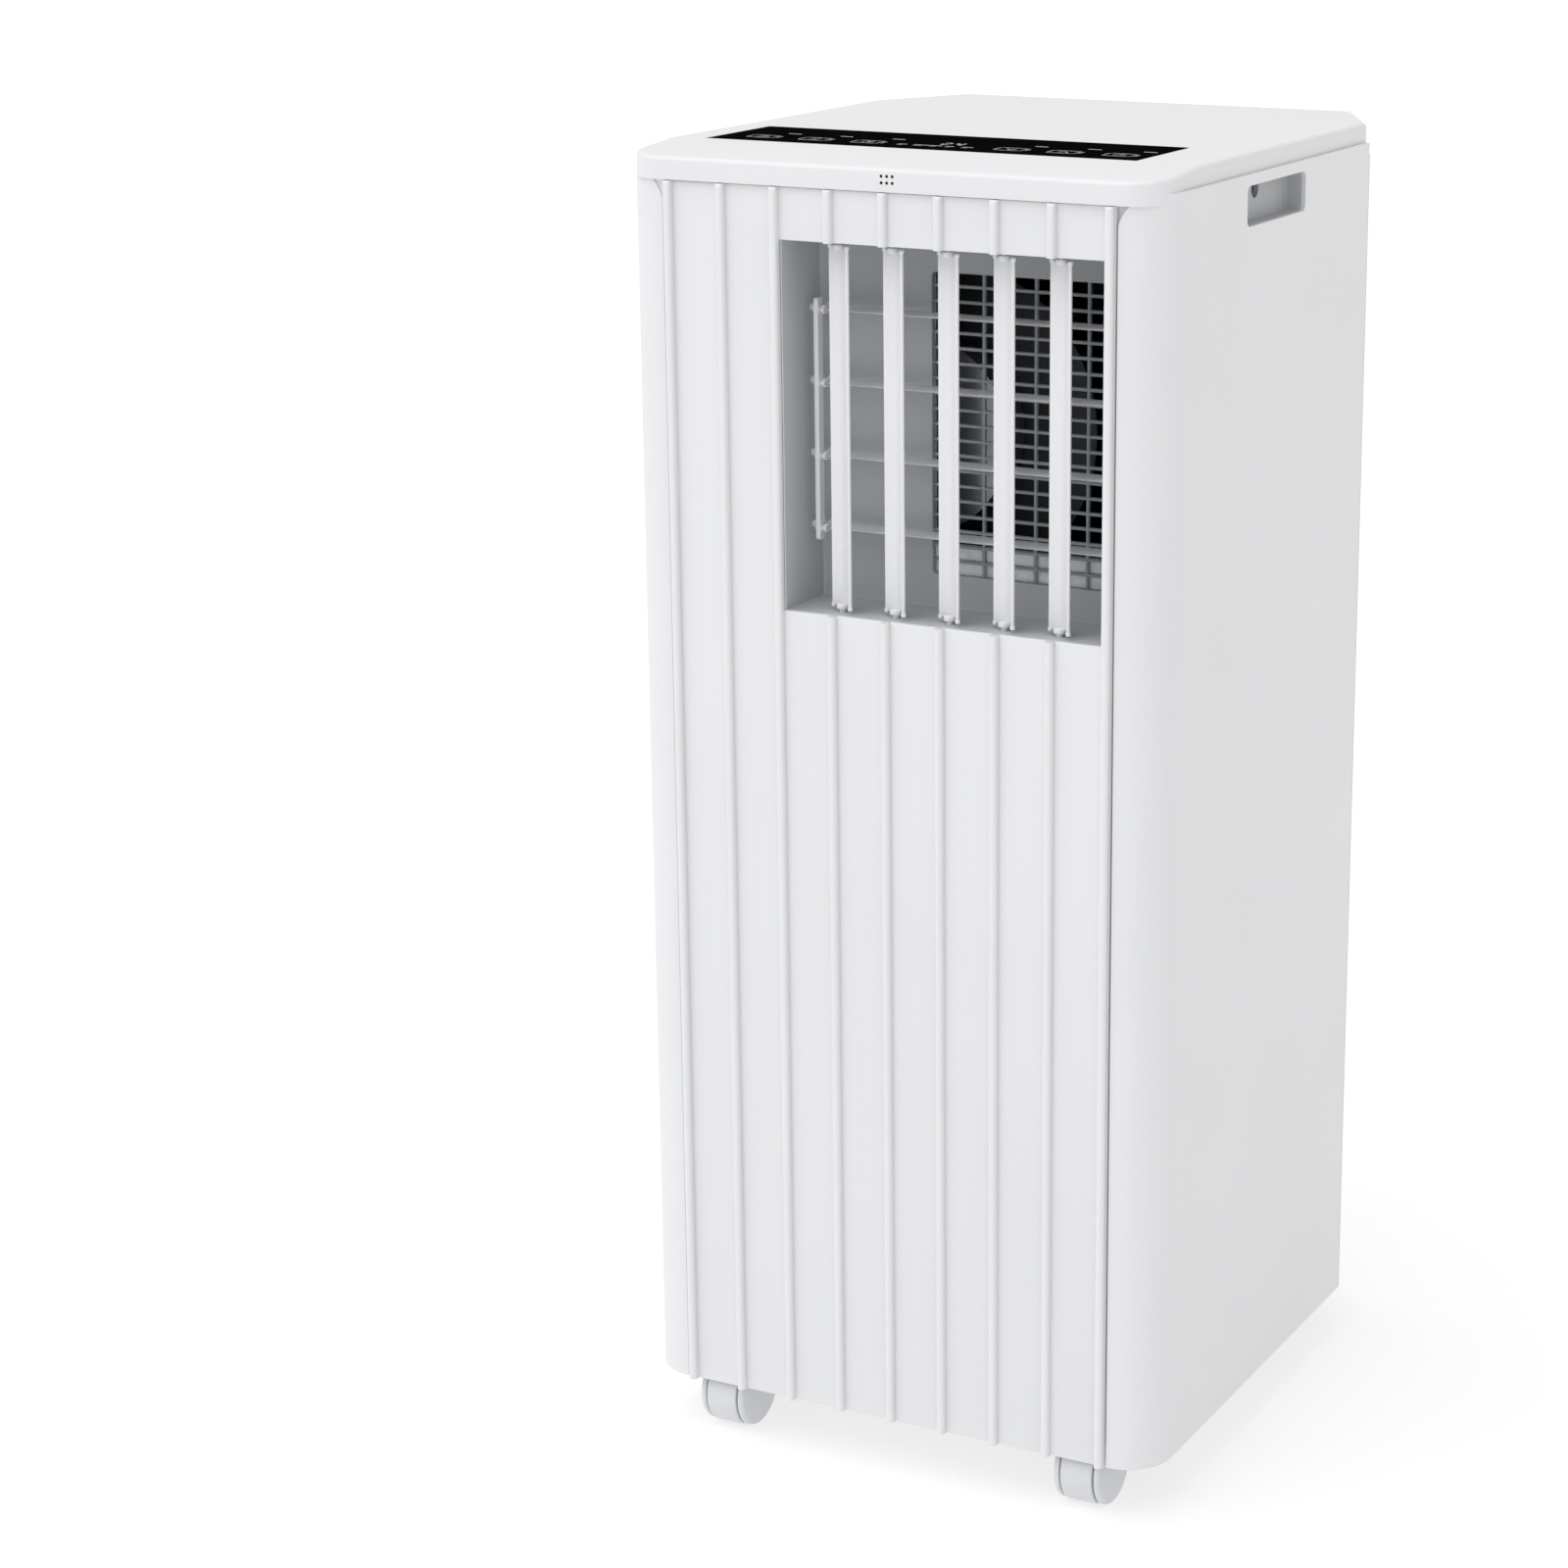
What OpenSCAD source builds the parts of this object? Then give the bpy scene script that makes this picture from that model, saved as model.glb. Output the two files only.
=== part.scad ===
// Portable air conditioner: upright case on four swivel casters, with louvred air outlet,
// touch control strip, two blowers, compressor, two coils and removable rear filters.
// Origin: middle of the footprint on the floor. +Z up, the front faces -Y.

/* [Case] */
// Width over the two side panels
case_w = 300; // [270:1:360]
// Depth from the front panel's face to the lid's rear edge
case_d = 327.5; // [300:0.5:393]
// Height from the floor to the top of the lid
case_h = 694; // [660:1:833]
// Thickness of the plastic panels
wall = 2.5; // [1.5:0.1:4]
// Plan radius of the two front corners
corner_r = 25; // [15:1:30]
// Width taken off by each rear corner's slanted face
rear_cut_w = 30; // [15:1:40]
// Depth taken off by each rear corner's slanted face
rear_cut_d = 58; // [30:1:70]
// Height of the case's lower edge above the floor
ground_gap = 31; // [28:1:40]
// How far the rear panel stays inside the lid's rear edge
rear_inset = 2.5; // [2:0.5:5]

/* [Lid] */
// Height of the lid's band at the front
lid_band = 15.5; // [12:0.5:20]
// Height of the lid's band above the side panels
lid_side_band = 10; // [8:0.5:11]
// How far the lid's sides stay inside the side panels' faces
lid_inset = 2.8; // [2.6:0.1:4]
// How far the lid's front lip stands out from the front panel
lid_lip = 2; // [0:0.5:3]
// Thickness of the lid's top
lid_t = 4; // [3:0.5:6]
// Depth of the strip that slopes down to the front lip
slope_d = 46; // [20:1:46]
// Height that the strip drops by
slope_drop = 4; // [0:0.5:6]
// Width of the touch glass
glass_w = 239; // [180:1:240]
// Depth of the touch glass
glass_d = 66; // [40:1:90]
// Thickness of the touch glass
glass_t = 1.8; // [1:0.1:2.5]
// Distance of the touch glass's middle from the case's middle
glass_x = -8; // [-15:1:15]

/* [Front] */
// Distance of the front seams from the side panels' faces
seam_inset = 26.3; // [25:0.1:32]
// Number of upright ribs
rib_count = 9; // [9:2:13]
// Width of a rib
rib_w = 4.6; // [3:0.1:6]
// How far a rib stands out
rib_out = 3.5; // [2:0.1:5]
// Height of the air outlet's lower edge above the floor
outlet_z = 465; // [440:1:480]
// Height of the air outlet
outlet_h = 187; // [150:1:187]
// Depth of the outlet's recess behind the front panel
outlet_d = 39.5; // [38:0.5:45]

/* [Louvres] */
// Chord of an upright louvre
louvre_chord = 17; // [12:0.5:18]
// Thickness of an upright louvre
louvre_t = 2; // [1.6:0.1:3]
// Height of the curve across an upright louvre
louvre_camber = 3; // [2:0.5:4]
// Angle that the louvres rest at, away from straight ahead
louvre_set = 62; // [0:1:62]
// Number of level vanes
vane_count = 4; // [3:1:4]
// Distance between level vanes
vane_pitch = 37; // [30:1:42]
// Chord of a level vane
vane_chord = 15; // [10:0.5:15]
// Thickness of a level vane
vane_t = 2.2; // [1.6:0.1:3]
// Length of the cranks that the link bars join
crank_r = 8; // [6:0.5:9]

/* [Blowers] */
// Radius of the cold-air blower wheel
cold_wheel_r = 85; // [60:1:88]
// Width of the cold-air blower wheel
cold_wheel_w = 80; // [50:1:85]
// Radius of the warm-air blower wheel
warm_wheel_r = 80; // [60:1:84]
// Height of the warm-air blower wheel
warm_wheel_h = 78; // [50:1:80]
// Number of blades on a blower wheel
blade_count = 32; // [20:1:40]
// Radius of the blower shafts
shaft_r = 5; // [3:0.5:6]

/* [Rear] */
// Width of the filter windows
window_w = 208; // [160:1:220]
// Height of the upper filter window
upper_window_h = 208; // [150:1:210]
// Height of the lower filter window
lower_window_h = 180; // [120:1:184]
// Inner radius of the exhaust collar
exhaust_r = 72.5; // [60:0.5:74]
// Thickness of the exhaust collar
collar_t = 3; // [2:0.5:4]

/* [Casters] */
// Radius of a caster wheel
wheel_r = 20; // [16:0.5:21]
// Width over a caster's two wheels
caster_w = 29; // [24:1:36]
// Distance of the casters' pivots from the case's middle
caster_x = 106; // [90:1:112]
// Distance from a caster's pivot to its axle
caster_trail = 10; // [6:1:10]

/* [Fits] */
// Radial clearance of a shaft that turns in a bore
run = 0.05; // [0.02:0.01:0.1]
// Gap between pieces that are fixed together or slide past each other
gap = 0.4; // [0.3:0.1:0.6]

/* [Hidden] */
$fn = 64;
eps = 0.01;
through = 400;

// The case's planes
front_y = -(case_d + rib_out) / 2 + rib_out;
rear_y = front_y + case_d;
panel_rear_y = rear_y - rear_inset;
side_back_y = panel_rear_y - rear_cut_d;
lid_z = case_h - lid_band;
side_top = case_h - lid_side_band;
lid_front_y = front_y - lid_lip - lid_inset;
lid_rear_y = rear_y + lid_inset;
seam_x = case_w / 2 - seam_inset;
corner_round = 20;

// Ribs and the outlet between the third rib and the last
rib_x0 = -(seam_x - rib_w / 2 - 0.8);
rib_pitch = -2 * rib_x0 / (rib_count - 1);
function rib_x(i) = rib_x0 + i * rib_pitch;
outlet_x0 = rib_x(2) + rib_w / 2;
outlet_x1 = rib_x(rib_count - 1) - rib_w / 2;
outlet_w = outlet_x1 - outlet_x0;
outlet_top = outlet_z + outlet_h;
duct_wall = 2;
duct_y0 = front_y + wall;
duct_y1 = duct_y0 + outlet_d;

// Louvres and vanes
louvre_count = 5;
louvre_y = front_y + 10.5;
louvre_lead = 1;
louvre_pin_r = 1.5;
crank_pin_r = 1.2;
crank_t = 2;
crank_z = outlet_z - duct_wall - 4.5;
vane_y = front_y + 32;
vane_z0 = outlet_z + outlet_h / 2 - vane_pitch * (vane_count - 1) / 2 + 1;
vane_x0 = outlet_x0 + 13.5;
vane_x1 = outlet_x1 - 4;
vane_shaft_r = 2;
bar_w = 5;
function louvre_x(i) = rib_x(3 + i);
function vane_z(i) = vane_z0 + i * vane_pitch;

// The grille's window in the recess's rear wall
vent_x0 = outlet_x0 + 62.6;
vent_x1 = outlet_x1 - 8;
vent_z0 = outlet_z + 17;
vent_z1 = outlet_top - 17;
grille_t = 2;
grille_bar = 1.6;
grille_rows = 20;
grille_cols = 4;
grille_pitch = 28.6;
covered_rows = 2;

// Base, deck and blower housings
floor_z = ground_gap + 17;
floor_t = 3;
pan_top = floor_z + 27;
pan_inset = wall + gap;
deck_z = outlet_z - 35;
deck_t = 4;
post = 10;
post_x = case_w / 2 - 24;
post_front_y = front_y + 81;
post_rear_y = side_back_y - 8;
foam_y0 = duct_y1 + duct_wall + grille_t + gap;
foam_y1 = foam_y0 + cold_wheel_w + 73;
foam_w = 250;
foam_z0 = deck_z + deck_t;
foam_z1 = min(outlet_top + 8, lid_z - 12);
cold_x = vent_x0 - 22.6;
cold_z = (foam_z0 + foam_z1) / 2;
cold_cavity_r = cold_wheel_r + 11;
foam_front = 24;
foam_back = 8;
cold_motor_h = 30;
cold_wheel_y = foam_y0 + foam_front + cold_motor_h + 4;
shaft_len = 24;
warm_z0 = deck_z - 138;
warm_z1 = warm_z0 + warm_wheel_h + 32;
warm_y = front_y + 175;
warm_cavity_r = warm_wheel_r + 16;
warm_wall = 6;
warm_w = 2 * (warm_cavity_r + warm_wall);
warm_rear_y = panel_rear_y - 28;
warm_outlet_w = 140;
exhaust_z = (warm_z0 + warm_z1) / 2;
motor_r = 38;
motor_h = deck_z - warm_z1;

// Coils, filters and windows
coil_w = 200;
coil_d = 38;
coil_y = side_back_y - 3;
bend_pitch = 40;
upper_window_z = deck_z + 13;
lower_window_z = pan_top + 2;
frame_d = 10;
frame_y = rear_y - frame_d;
filter_gap = 0.5;

// Compressor group
comp_r = 58;
comp_x = -52;
comp_y = front_y + 118;
comp_z = floor_z + floor_t + 14;
comp_h = warm_z0 - comp_z - 24;
foot_pcd_r = 66;
foot_angles = [30, 150, 270];
stud_r = 4;
pipe_r = 4;
pipe_x = case_w / 2 - 12;
pipe_end_y = coil_y + 6;

// Handle pockets
handle_y = front_y + 97.5;
handle_len = 77.5;
handle_h = 20;
handle_z = side_top - 5.5 - handle_h;
handle_deep = 8.5;
cup_t = 1.6;
slot_deep = 4;
slot_r = 4.5;
slot_offset = 36;
slot_drop = 5.3;

// Casters
hood_half = caster_w / 2 - 5.6;
stem_r = 5;
stem_h = 24;
axle_r = 3;
socket_r = 9;
caster_front_y = front_y + 33;
caster_rear_y = side_back_y - 4;
caster_places = [
    [-caster_x, caster_front_y], [caster_x, caster_front_y],
    [-caster_x, caster_rear_y], [caster_x, caster_rear_y]
];

// Drains, cord gland and screws
spout_r = 9;
drain_r = 6;
drain_x = 0;
upper_drain_x = 60;
drain_hole_r = 12;
gland_x = -104;
gland_z = lower_window_z + lower_window_h + 24;
gland_r = 9;
cord_r = 4;
screw_r = 1.6;
screw_x = case_w / 2 - rear_cut_w - 7;
screw_zs = [pan_top + 8, exhaust_z, lid_z - 12];

// ---- Shared shapes ----

// A box given by its lowest corner and highest corner
module box(a, b) {
    translate(a) cube(b - a);
}

// A round bar along X, Y or Z from a point
module bar_x(p, r, len) {
    translate(p) rotate([0, 90, 0]) cylinder(r = r, h = len);
}
module bar_y(p, r, len) {
    translate(p) rotate([-90, 0, 0]) cylinder(r = r, h = len);
}
module bar_z(p, r, len) {
    translate(p) cylinder(r = r, h = len);
}

// The case's outline from above: round front corners, slanted rear corners
module plan(inset = 0, front = front_y, rear = panel_rear_y) {
    hw = case_w / 2 - inset;
    y0 = front + inset;
    y1 = rear - inset;
    yc = rear - rear_cut_d;
    r = corner_r - inset;
    polygon([
        [-hw + r, y0], [hw - r, y0], [hw, y0 + r], [hw, yc],
        [hw - rear_cut_w, y1], [-hw + rear_cut_w, y1], [-hw, yc], [-hw, y0 + r]
    ]);
    for (s = [-1, 1]) translate([s * (hw - r), y0 + r]) circle(r);
}

module plan_solid(z0, z1, inset = 0, front = front_y, rear = panel_rear_y) {
    translate([0, 0, z0]) linear_extrude(z1 - z0) plan(inset, front, rear);
}

// A thin blade's section: two arcs that meet at its edges
module blade_section(chord, t) {
    r = (chord * chord / 4 + t * t / 4) / t;
    intersection() {
        translate([r - t / 2, 0]) circle(r, $fn = 128);
        translate([t / 2 - r, 0]) circle(r, $fn = 128);
    }
}

// A curved blade, its chord along Y and its hollow side towards -X, set round its pivot.
module louvre_section() {
    r = (louvre_chord * louvre_chord / 4 + louvre_camber * louvre_camber) / (2 * louvre_camber);
    translate([louvre_camber - louvre_lead - r, -louvre_lead]) intersection() {
        difference() {
            circle(r + louvre_t / 2, $fn = 128);
            circle(r - louvre_t / 2, $fn = 128);
        }
        translate([r - louvre_camber, -louvre_chord]) square([2 * louvre_chord, 2 * louvre_chord]);
    }
}

// ---- Case ----

module base_pan() {
    color("gainsboro") difference() {
        union() {
            plan_solid(floor_z, floor_z + floor_t, pan_inset);
            difference() {
                plan_solid(floor_z - 5, pan_top, pan_inset);
                plan_solid(floor_z - 6, pan_top + 1, pan_inset + wall);
            }
            for (p = caster_places) bar_z([p[0], p[1], floor_z - 2], socket_r + 2.5, 24);
            for (a = foot_angles)
                bar_z([comp_x + foot_pcd_r * cos(a), comp_y + foot_pcd_r * sin(a), floor_z], stud_r, 28);
            bar_y([drain_x, side_back_y, floor_z + 13], spout_r, panel_rear_y - 3 - side_back_y);
        }
        for (p = caster_places) bar_z([p[0], p[1], floor_z - 3], socket_r, 21);
        bar_y([drain_x, side_back_y + 10, floor_z + 13], drain_r, through);
        bar_z([drain_x, side_back_y + 16, floor_z + 13], 4, 30);
    }
}

module front_panel() {
    color("white") difference() {
        union() {
            box([-seam_x + gap, front_y, ground_gap], [seam_x - gap, front_y + wall, lid_z - gap]);
            for (s = [-1, 1]) {
                x = s * (seam_x - gap);
                box([min(x, x - s * wall), front_y, pan_top + 2], [max(x, x - s * wall), front_y + 14, lid_z - gap]);
            }
            for (i = [0:rib_count - 1]) rib(rib_x(i));
            intersection() {
                difference() {
                    plan_solid(side_top - corner_round - 8, lid_z - gap, wall + gap);
                    plan_solid(ground_gap, case_h, 2 * wall + gap);
                }
                for (s = [0, 1]) mirror([s, 0, 0])
                    box([seam_x - gap - wall, front_y, 0], [case_w / 2 - wall - 6, front_y + corner_r - 2, case_h]);
            }
        }
        box([outlet_x0, front_y - 10, outlet_z], [outlet_x1, front_y + 20, outlet_top]);
    }
}

module rib(x) {
    r = rib_w / 2;
    translate([x, front_y, ground_gap]) linear_extrude(lid_z - 1.5 - ground_gap) {
        translate([-r, -rib_out + r]) square([rib_w, rib_out - r + 1]);
        translate([0, -rib_out + r]) circle(r);
    }
}

// The right-hand panel's wall with its rounded top corner, made larger all over by grow
module side_shell(grow = 0) {
    r = corner_round + grow;
    x = seam_x - grow;
    difference() {
        intersection() {
            difference() {
                plan_solid(ground_gap, side_top + grow, -grow);
                plan_solid(ground_gap - 1, side_top + grow + 1, wall + grow);
            }
            box([x, front_y - 5, 0], [case_w, side_back_y - gap + grow, case_h]);
        }
        translate([x, front_y - 5, side_top + grow - r]) difference() {
            box([-1, 0, 0], [r, corner_r + 5, r + 1]);
            bar_y([r, -1, 0], r, corner_r + 7);
        }
    }
}

// The right-hand panel: the left one is its mirror image
module side_panel() {
    difference() {
        side_shell();
        handle_opening();
    }
    rail = case_w / 2 - wall;
    box([rail - 2, front_y + corner_r + 10, pan_top + 4], [rail + eps, front_y + corner_r + 13, handle_z - 20]);
    box([rail - 2, side_back_y - 16, pan_top + 4], [rail + eps, side_back_y - 13, handle_z - 20]);
}

module handle_opening() {
    r = 3;
    for (y = [handle_y + r, handle_y + handle_len - r])
        for (z = [handle_z + r, handle_z + handle_h - r]) bar_x([case_w / 2 - 10, y, z], r, 20);
    box([case_w / 2 - 10, handle_y + r, handle_z], [case_w / 2 + 10, handle_y + handle_len - r, handle_z + handle_h]);
    box([case_w / 2 - 10, handle_y, handle_z + r], [case_w / 2 + 10, handle_y + handle_len, handle_z + handle_h - r]);
}

module right_side_panel() {
    color("whitesmoke") side_panel();
}

module left_side_panel() {
    color("whitesmoke") mirror([1, 0, 0]) side_panel();
}

// Grip pocket behind a side panel's opening, with a blind hook slot in its rear wall
module handle_cup() {
    x1 = case_w / 2 - wall;
    x0 = x1 - handle_deep;
    slot_y = handle_y + slot_offset;
    slot_z = handle_z + handle_h - slot_drop;
    difference() {
        union() {
            box([x0 - cup_t, handle_y - cup_t, handle_z - cup_t],
                [x1, handle_y + handle_len + cup_t, handle_z + handle_h + cup_t]);
            box([x0 - slot_deep - cup_t, slot_y - slot_r - cup_t, slot_z - slot_r - cup_t],
                [x0, slot_y + slot_r + cup_t, handle_z + handle_h + cup_t]);
        }
        box([x0, handle_y, handle_z], [x1 + 1, handle_y + handle_len, handle_z + handle_h]);
        bar_x([x0 - slot_deep, slot_y, slot_z], slot_r, slot_deep + 1);
        box([x0 - slot_deep, slot_y - slot_r, slot_z], [x0 + 1, slot_y + slot_r, handle_z + handle_h]);
    }
}

module right_handle_cup() {
    color("lightgray") handle_cup();
}

module left_handle_cup() {
    color("lightgray") mirror([1, 0, 0]) handle_cup();
}

module window(z, h) {
    box([-window_w / 2, side_back_y, z], [window_w / 2, rear_y + 1, z + h]);
}

module rear_panel() {
    color("white") difference() {
        union() {
            intersection() {
                difference() {
                    plan_solid(ground_gap, lid_z - gap);
                    plan_solid(ground_gap - 1, lid_z + 1, wall);
                }
                box([-case_w, side_back_y, 0], [case_w, rear_y, case_h]);
            }
            for (s = [-1, 1]) for (z = screw_zs)
                bar_y([s * screw_x, panel_rear_y - 12, z], 4, 11);
        }
        window(lower_window_z, lower_window_h);
        window(upper_window_z, upper_window_h);
        bar_y([0, side_back_y, exhaust_z], exhaust_r + collar_t + gap, through);
        for (p = [[drain_x, floor_z + 13], [upper_drain_x, deck_z - 3]])
            bar_y([p[0], side_back_y, p[1]], drain_hole_r, through);
        bar_y([gland_x, side_back_y, gland_z], gland_r, through);
        for (s = [-1, 1]) for (z = screw_zs) bar_y([s * screw_x, side_back_y, z], screw_r, through);
    }
}

module top_cover() {
    color("white") difference() {
        union() {
            difference() {
                plan_solid(lid_z, case_h, lid_inset, lid_front_y, lid_rear_y);
                plan_solid(lid_z - 1, case_h - lid_t, lid_inset + wall, lid_front_y, lid_rear_y);
                lid_side_relief();
            }
            for (s = [-1, 1]) for (y = [glass_y0 + 8, glass_y0 + glass_d - 8])
                bar_z([glass_x + s * (glass_w / 2 - 20), y, case_h - 9], 4, 6);
        }
        lid_slope();
        for (s = [0, 1]) mirror([s, 0, 0]) side_shell(gap);
        glass_solid(gap / 2, 1);
        for (i = [-1:1]) for (j = [0:1])
            bar_y([3 + 3 * i, front_y - 10, lid_z + 4.5 + 3.2 * j], 0.8, 20);
    }
}

// The lid's skirt stops above the handle pockets
module lid_side_relief() {
    for (s = [0, 1]) mirror([s, 0, 0])
        box([case_w / 2 - 12, front_y + corner_r, lid_z - 1], [case_w, side_back_y - 4, side_top - 2]);
}

// The wedge taken off above the front strip
module lid_slope() {
    y0 = front_y - lid_lip - 1;
    translate([-case_w, 0, 0]) rotate([90, 0, 90]) linear_extrude(2 * case_w) polygon([
        [y0, case_h - slope_drop * (slope_d + lid_lip + 1) / slope_d],
        [front_y + slope_d, case_h],
        [front_y + slope_d, case_h + 5],
        [y0, case_h + 5]
    ]);
}

glass_y0 = front_y + slope_d + 3;

module glass_solid(grow = 0, above = 0) {
    box([glass_x - glass_w / 2 - grow, glass_y0 - grow, case_h - glass_t],
        [glass_x + glass_w / 2 + grow, glass_y0 + glass_d + grow, case_h + above]);
}

module control_glass() {
    color("black") glass_solid();
}

module control_board() {
    t = 1.6;
    z = case_h - 9 - t;
    color("darkgreen") {
        box([glass_x - glass_w / 2 + 10, glass_y0 + 4, z], [glass_x + glass_w / 2 - 10, glass_y0 + glass_d - 4, z + t]);
        box([glass_x - 26, glass_y0 + 20, z + t], [glass_x + 26, glass_y0 + 44, z + t + 2.5]);
        box([glass_x - 80, glass_y0 + 12, z - 7], [glass_x - 60, glass_y0 + 24, z]);
    }
}

// ---- Outlet ----

module outlet_duct() {
    x0 = outlet_x0 - duct_wall;
    x1 = outlet_x1 + duct_wall;
    color("gainsboro") difference() {
        box([x0, duct_y0, outlet_z - duct_wall], [x1, duct_y1 + duct_wall, outlet_top + duct_wall]);
        box([outlet_x0, duct_y0 - 1, outlet_z], [outlet_x1, duct_y1, outlet_top]);
        box([vent_x0, duct_y1 - 1, vent_z0], [vent_x1, duct_y1 + 5, vent_z1]);
        for (i = [0:louvre_count - 1])
            bar_z([louvre_x(i), louvre_y, outlet_z - 10], louvre_pin_r + run, outlet_h + 20);
        for (i = [0:vane_count - 1])
            bar_x([x0 - 5, vane_y, vane_z(i)], vane_shaft_r + run, outlet_w + 20);
    }
}

module outlet_grille() {
    b = grille_bar;
    pitch_z = (vent_z1 - vent_z0 + b) / grille_rows;
    color("slategray") difference() {
        box([vent_x0 - 3, duct_y1 + duct_wall, vent_z0 - 3],
            [vent_x1 + 3, duct_y1 + duct_wall + grille_t, vent_z1 + 3]);
        for (i = [0:grille_cols - 1]) for (j = [0:grille_rows - 1])
            box([vent_x0 + i * grille_pitch, duct_y1, vent_z0 + j * pitch_z],
                [min(vent_x0 + (i + 1) * grille_pitch - b, vent_x1), duct_y1 + 10, vent_z0 + (j + 1) * pitch_z - b]);
    }
}

// One upright louvre: blade, end collars, pivot pins and the crank below the recess
module louvre(i) {
    z0 = outlet_z + 3;
    z1 = outlet_top - 3;
    x = louvre_x(i);
    color("white") {
        translate([x, louvre_y, z0]) linear_extrude(z1 - z0) rotate(louvre_set) louvre_section();
        for (z = [z0 - 2, z1 - 1]) bar_z([x, louvre_y, z], 3.2, 3);
        bar_z([x, louvre_y, z1], louvre_pin_r, 4.5);
        bar_z([x, louvre_y, crank_z], louvre_pin_r, z0 - crank_z);
        box([x - 2, louvre_y, crank_z], [x + 2, louvre_y + crank_r, crank_z + crank_t]);
        bar_z([x, louvre_y, crank_z], 2.4, crank_t);
        bar_z([x, louvre_y + crank_r, crank_z - 4], crank_pin_r, 4 + crank_t);
    }
}

// Tie bar under the recess: a close hole at the middle louvre, free holes at the others
module louvre_link() {
    z = crank_z - 3.2;
    y = louvre_y + crank_r;
    color("gray") difference() {
        box([louvre_x(0) - 5, y - bar_w / 2, z], [louvre_x(louvre_count - 1) + 5, y + bar_w / 2, z + 2.4]);
        for (i = [0:louvre_count - 1])
            bar_z([louvre_x(i), y, z - 1], crank_pin_r + (i == 2 ? run : 0.4), 5);
    }
}

// One level vane: blade, pivot shaft and the crank beside its left end
module vane(i) {
    z = vane_z(i);
    color("white") {
        translate([vane_x0, vane_y, z]) rotate([90, 0, 90])
            linear_extrude(vane_x1 - vane_x0) rotate(90) blade_section(vane_chord, vane_t);
        bar_x([outlet_x0 - duct_wall - 7 * (i == 0 ? 1 : 0), vane_y, z], vane_shaft_r,
              vane_x0 - outlet_x0 + duct_wall + 7 * (i == 0 ? 1 : 0) + 4);
        bar_x([vane_x1 - 4, vane_y, z], vane_shaft_r, outlet_x1 + duct_wall - vane_x1 + 4);
        box([vane_x0 - 3.5, vane_y - crank_r, z - 2], [vane_x0 - 1.5, vane_y, z + 2]);
        bar_x([vane_x0 - 3.5, vane_y, z], 3, 2);
        bar_x([vane_x0 - 7.5, vane_y - crank_r, z], crank_pin_r, 6);
    }
}

// Upright bar that joins the vanes: a close hole at the lowest vane, free holes at the others
module vane_link() {
    x = vane_x0 - 6.6;
    y = vane_y - crank_r;
    color("white") difference() {
        box([x, y - bar_w / 2, vane_z(0) - 6], [x + 2.5, y + bar_w / 2, vane_z(vane_count - 1) + 6]);
        for (i = [0:vane_count - 1])
            bar_x([x - 1, y, vane_z(i)], crank_pin_r + (i == 0 ? run : 0.4), 5);
    }
}

module vane_motor() {
    x1 = outlet_x0 - duct_wall - gap / 2;
    color("silver") difference() {
        union() {
            bar_x([x1 - 19, vane_y, vane_z(0)], 14, 19);
            box([x1 - 1.5, vane_y - 3, vane_z(0) - 19], [x1, vane_y + 3, vane_z(0) + 19]);
            box([x1 - 17, vane_y - 17, vane_z(0) - 7], [x1 - 4, vane_y, vane_z(0) + 7]);
        }
        bar_x([x1 - 8, vane_y, vane_z(0)], vane_shaft_r + run, 20);
    }
}

// ---- Inside ----

module mid_deck() {
    w = case_w / 2 - wall - 4;
    color("lightgray") difference() {
        union() {
            box([-w, front_y + 46, deck_z], [w, side_back_y, deck_z + deck_t]);
            box([-coil_w / 2 - 6, side_back_y - eps, deck_z], [coil_w / 2 + 6, coil_y + coil_d + 6, deck_z + deck_t]);
            bar_y([upper_drain_x, side_back_y - 6, deck_z - 3], spout_r, panel_rear_y + 3 - side_back_y);
        }
        bar_y([upper_drain_x, side_back_y, deck_z - 3], drain_r, through);
        box([pipe_x - 6, acc_y - 6, deck_z - 1], [w + 1, acc_y + 6, deck_z + deck_t + 1]);
    }
}

module deck_posts() {
    color("silver") for (s = [-1, 1]) for (y = [post_front_y, post_rear_y])
        box([s * post_x - post / 2, y - post / 2, floor_z + floor_t],
            [s * post_x + post / 2, y + post / 2, deck_z]);
}

// Foam scroll for the cold blower: round cavity, inlet at the rear, outlet to the grille
module cold_blower_housing() {
    x0 = -foam_w / 2;
    mouth_z0 = vent_z0 + covered_rows * (vent_z1 - vent_z0 + grille_bar) / grille_rows;
    color("white") difference() {
        box([x0, foam_y0, foam_z0], [x0 + foam_w, foam_y1, foam_z1]);
        bar_y([cold_x, foam_y0 + foam_front, cold_z], cold_cavity_r, foam_y1 - foam_y0 - foam_front - foam_back);
        box([cold_x, foam_y0 + foam_front, vent_z0], [vent_x1, foam_y1 - foam_back, vent_z1]);
        box([vent_x0, foam_y0 - 1, mouth_z0], [vent_x1, foam_y0 + foam_front + 1, vent_z1]);
        bar_y([cold_x, foam_y1 - foam_back - 1, cold_z], cold_wheel_r - 15, through);
    }
}

// A cage wheel along +Z: hub plate, ring of blades, end ring and its shaft
module cage_wheel(r, h, shaft) {
    blade = 13;
    cylinder(r = r, h = 2);
    translate([0, 0, h - 4]) difference() {
        cylinder(r = r, h = 4);
        translate([0, 0, -1]) cylinder(r = r - blade - 1, h = 6);
    }
    translate([0, 0, 1]) linear_extrude(h - 3) for (i = [0:blade_count - 1])
        rotate(i * 360 / blade_count) translate([r - 1 - blade / 2, 0]) rotate(24)
            square([blade - 1, 1.2], center = true);
    translate([0, 0, 1]) cylinder(r = 12, h = 18);
    translate([0, 0, -shaft]) cylinder(r = shaft_r, h = shaft + 4);
}

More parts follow.
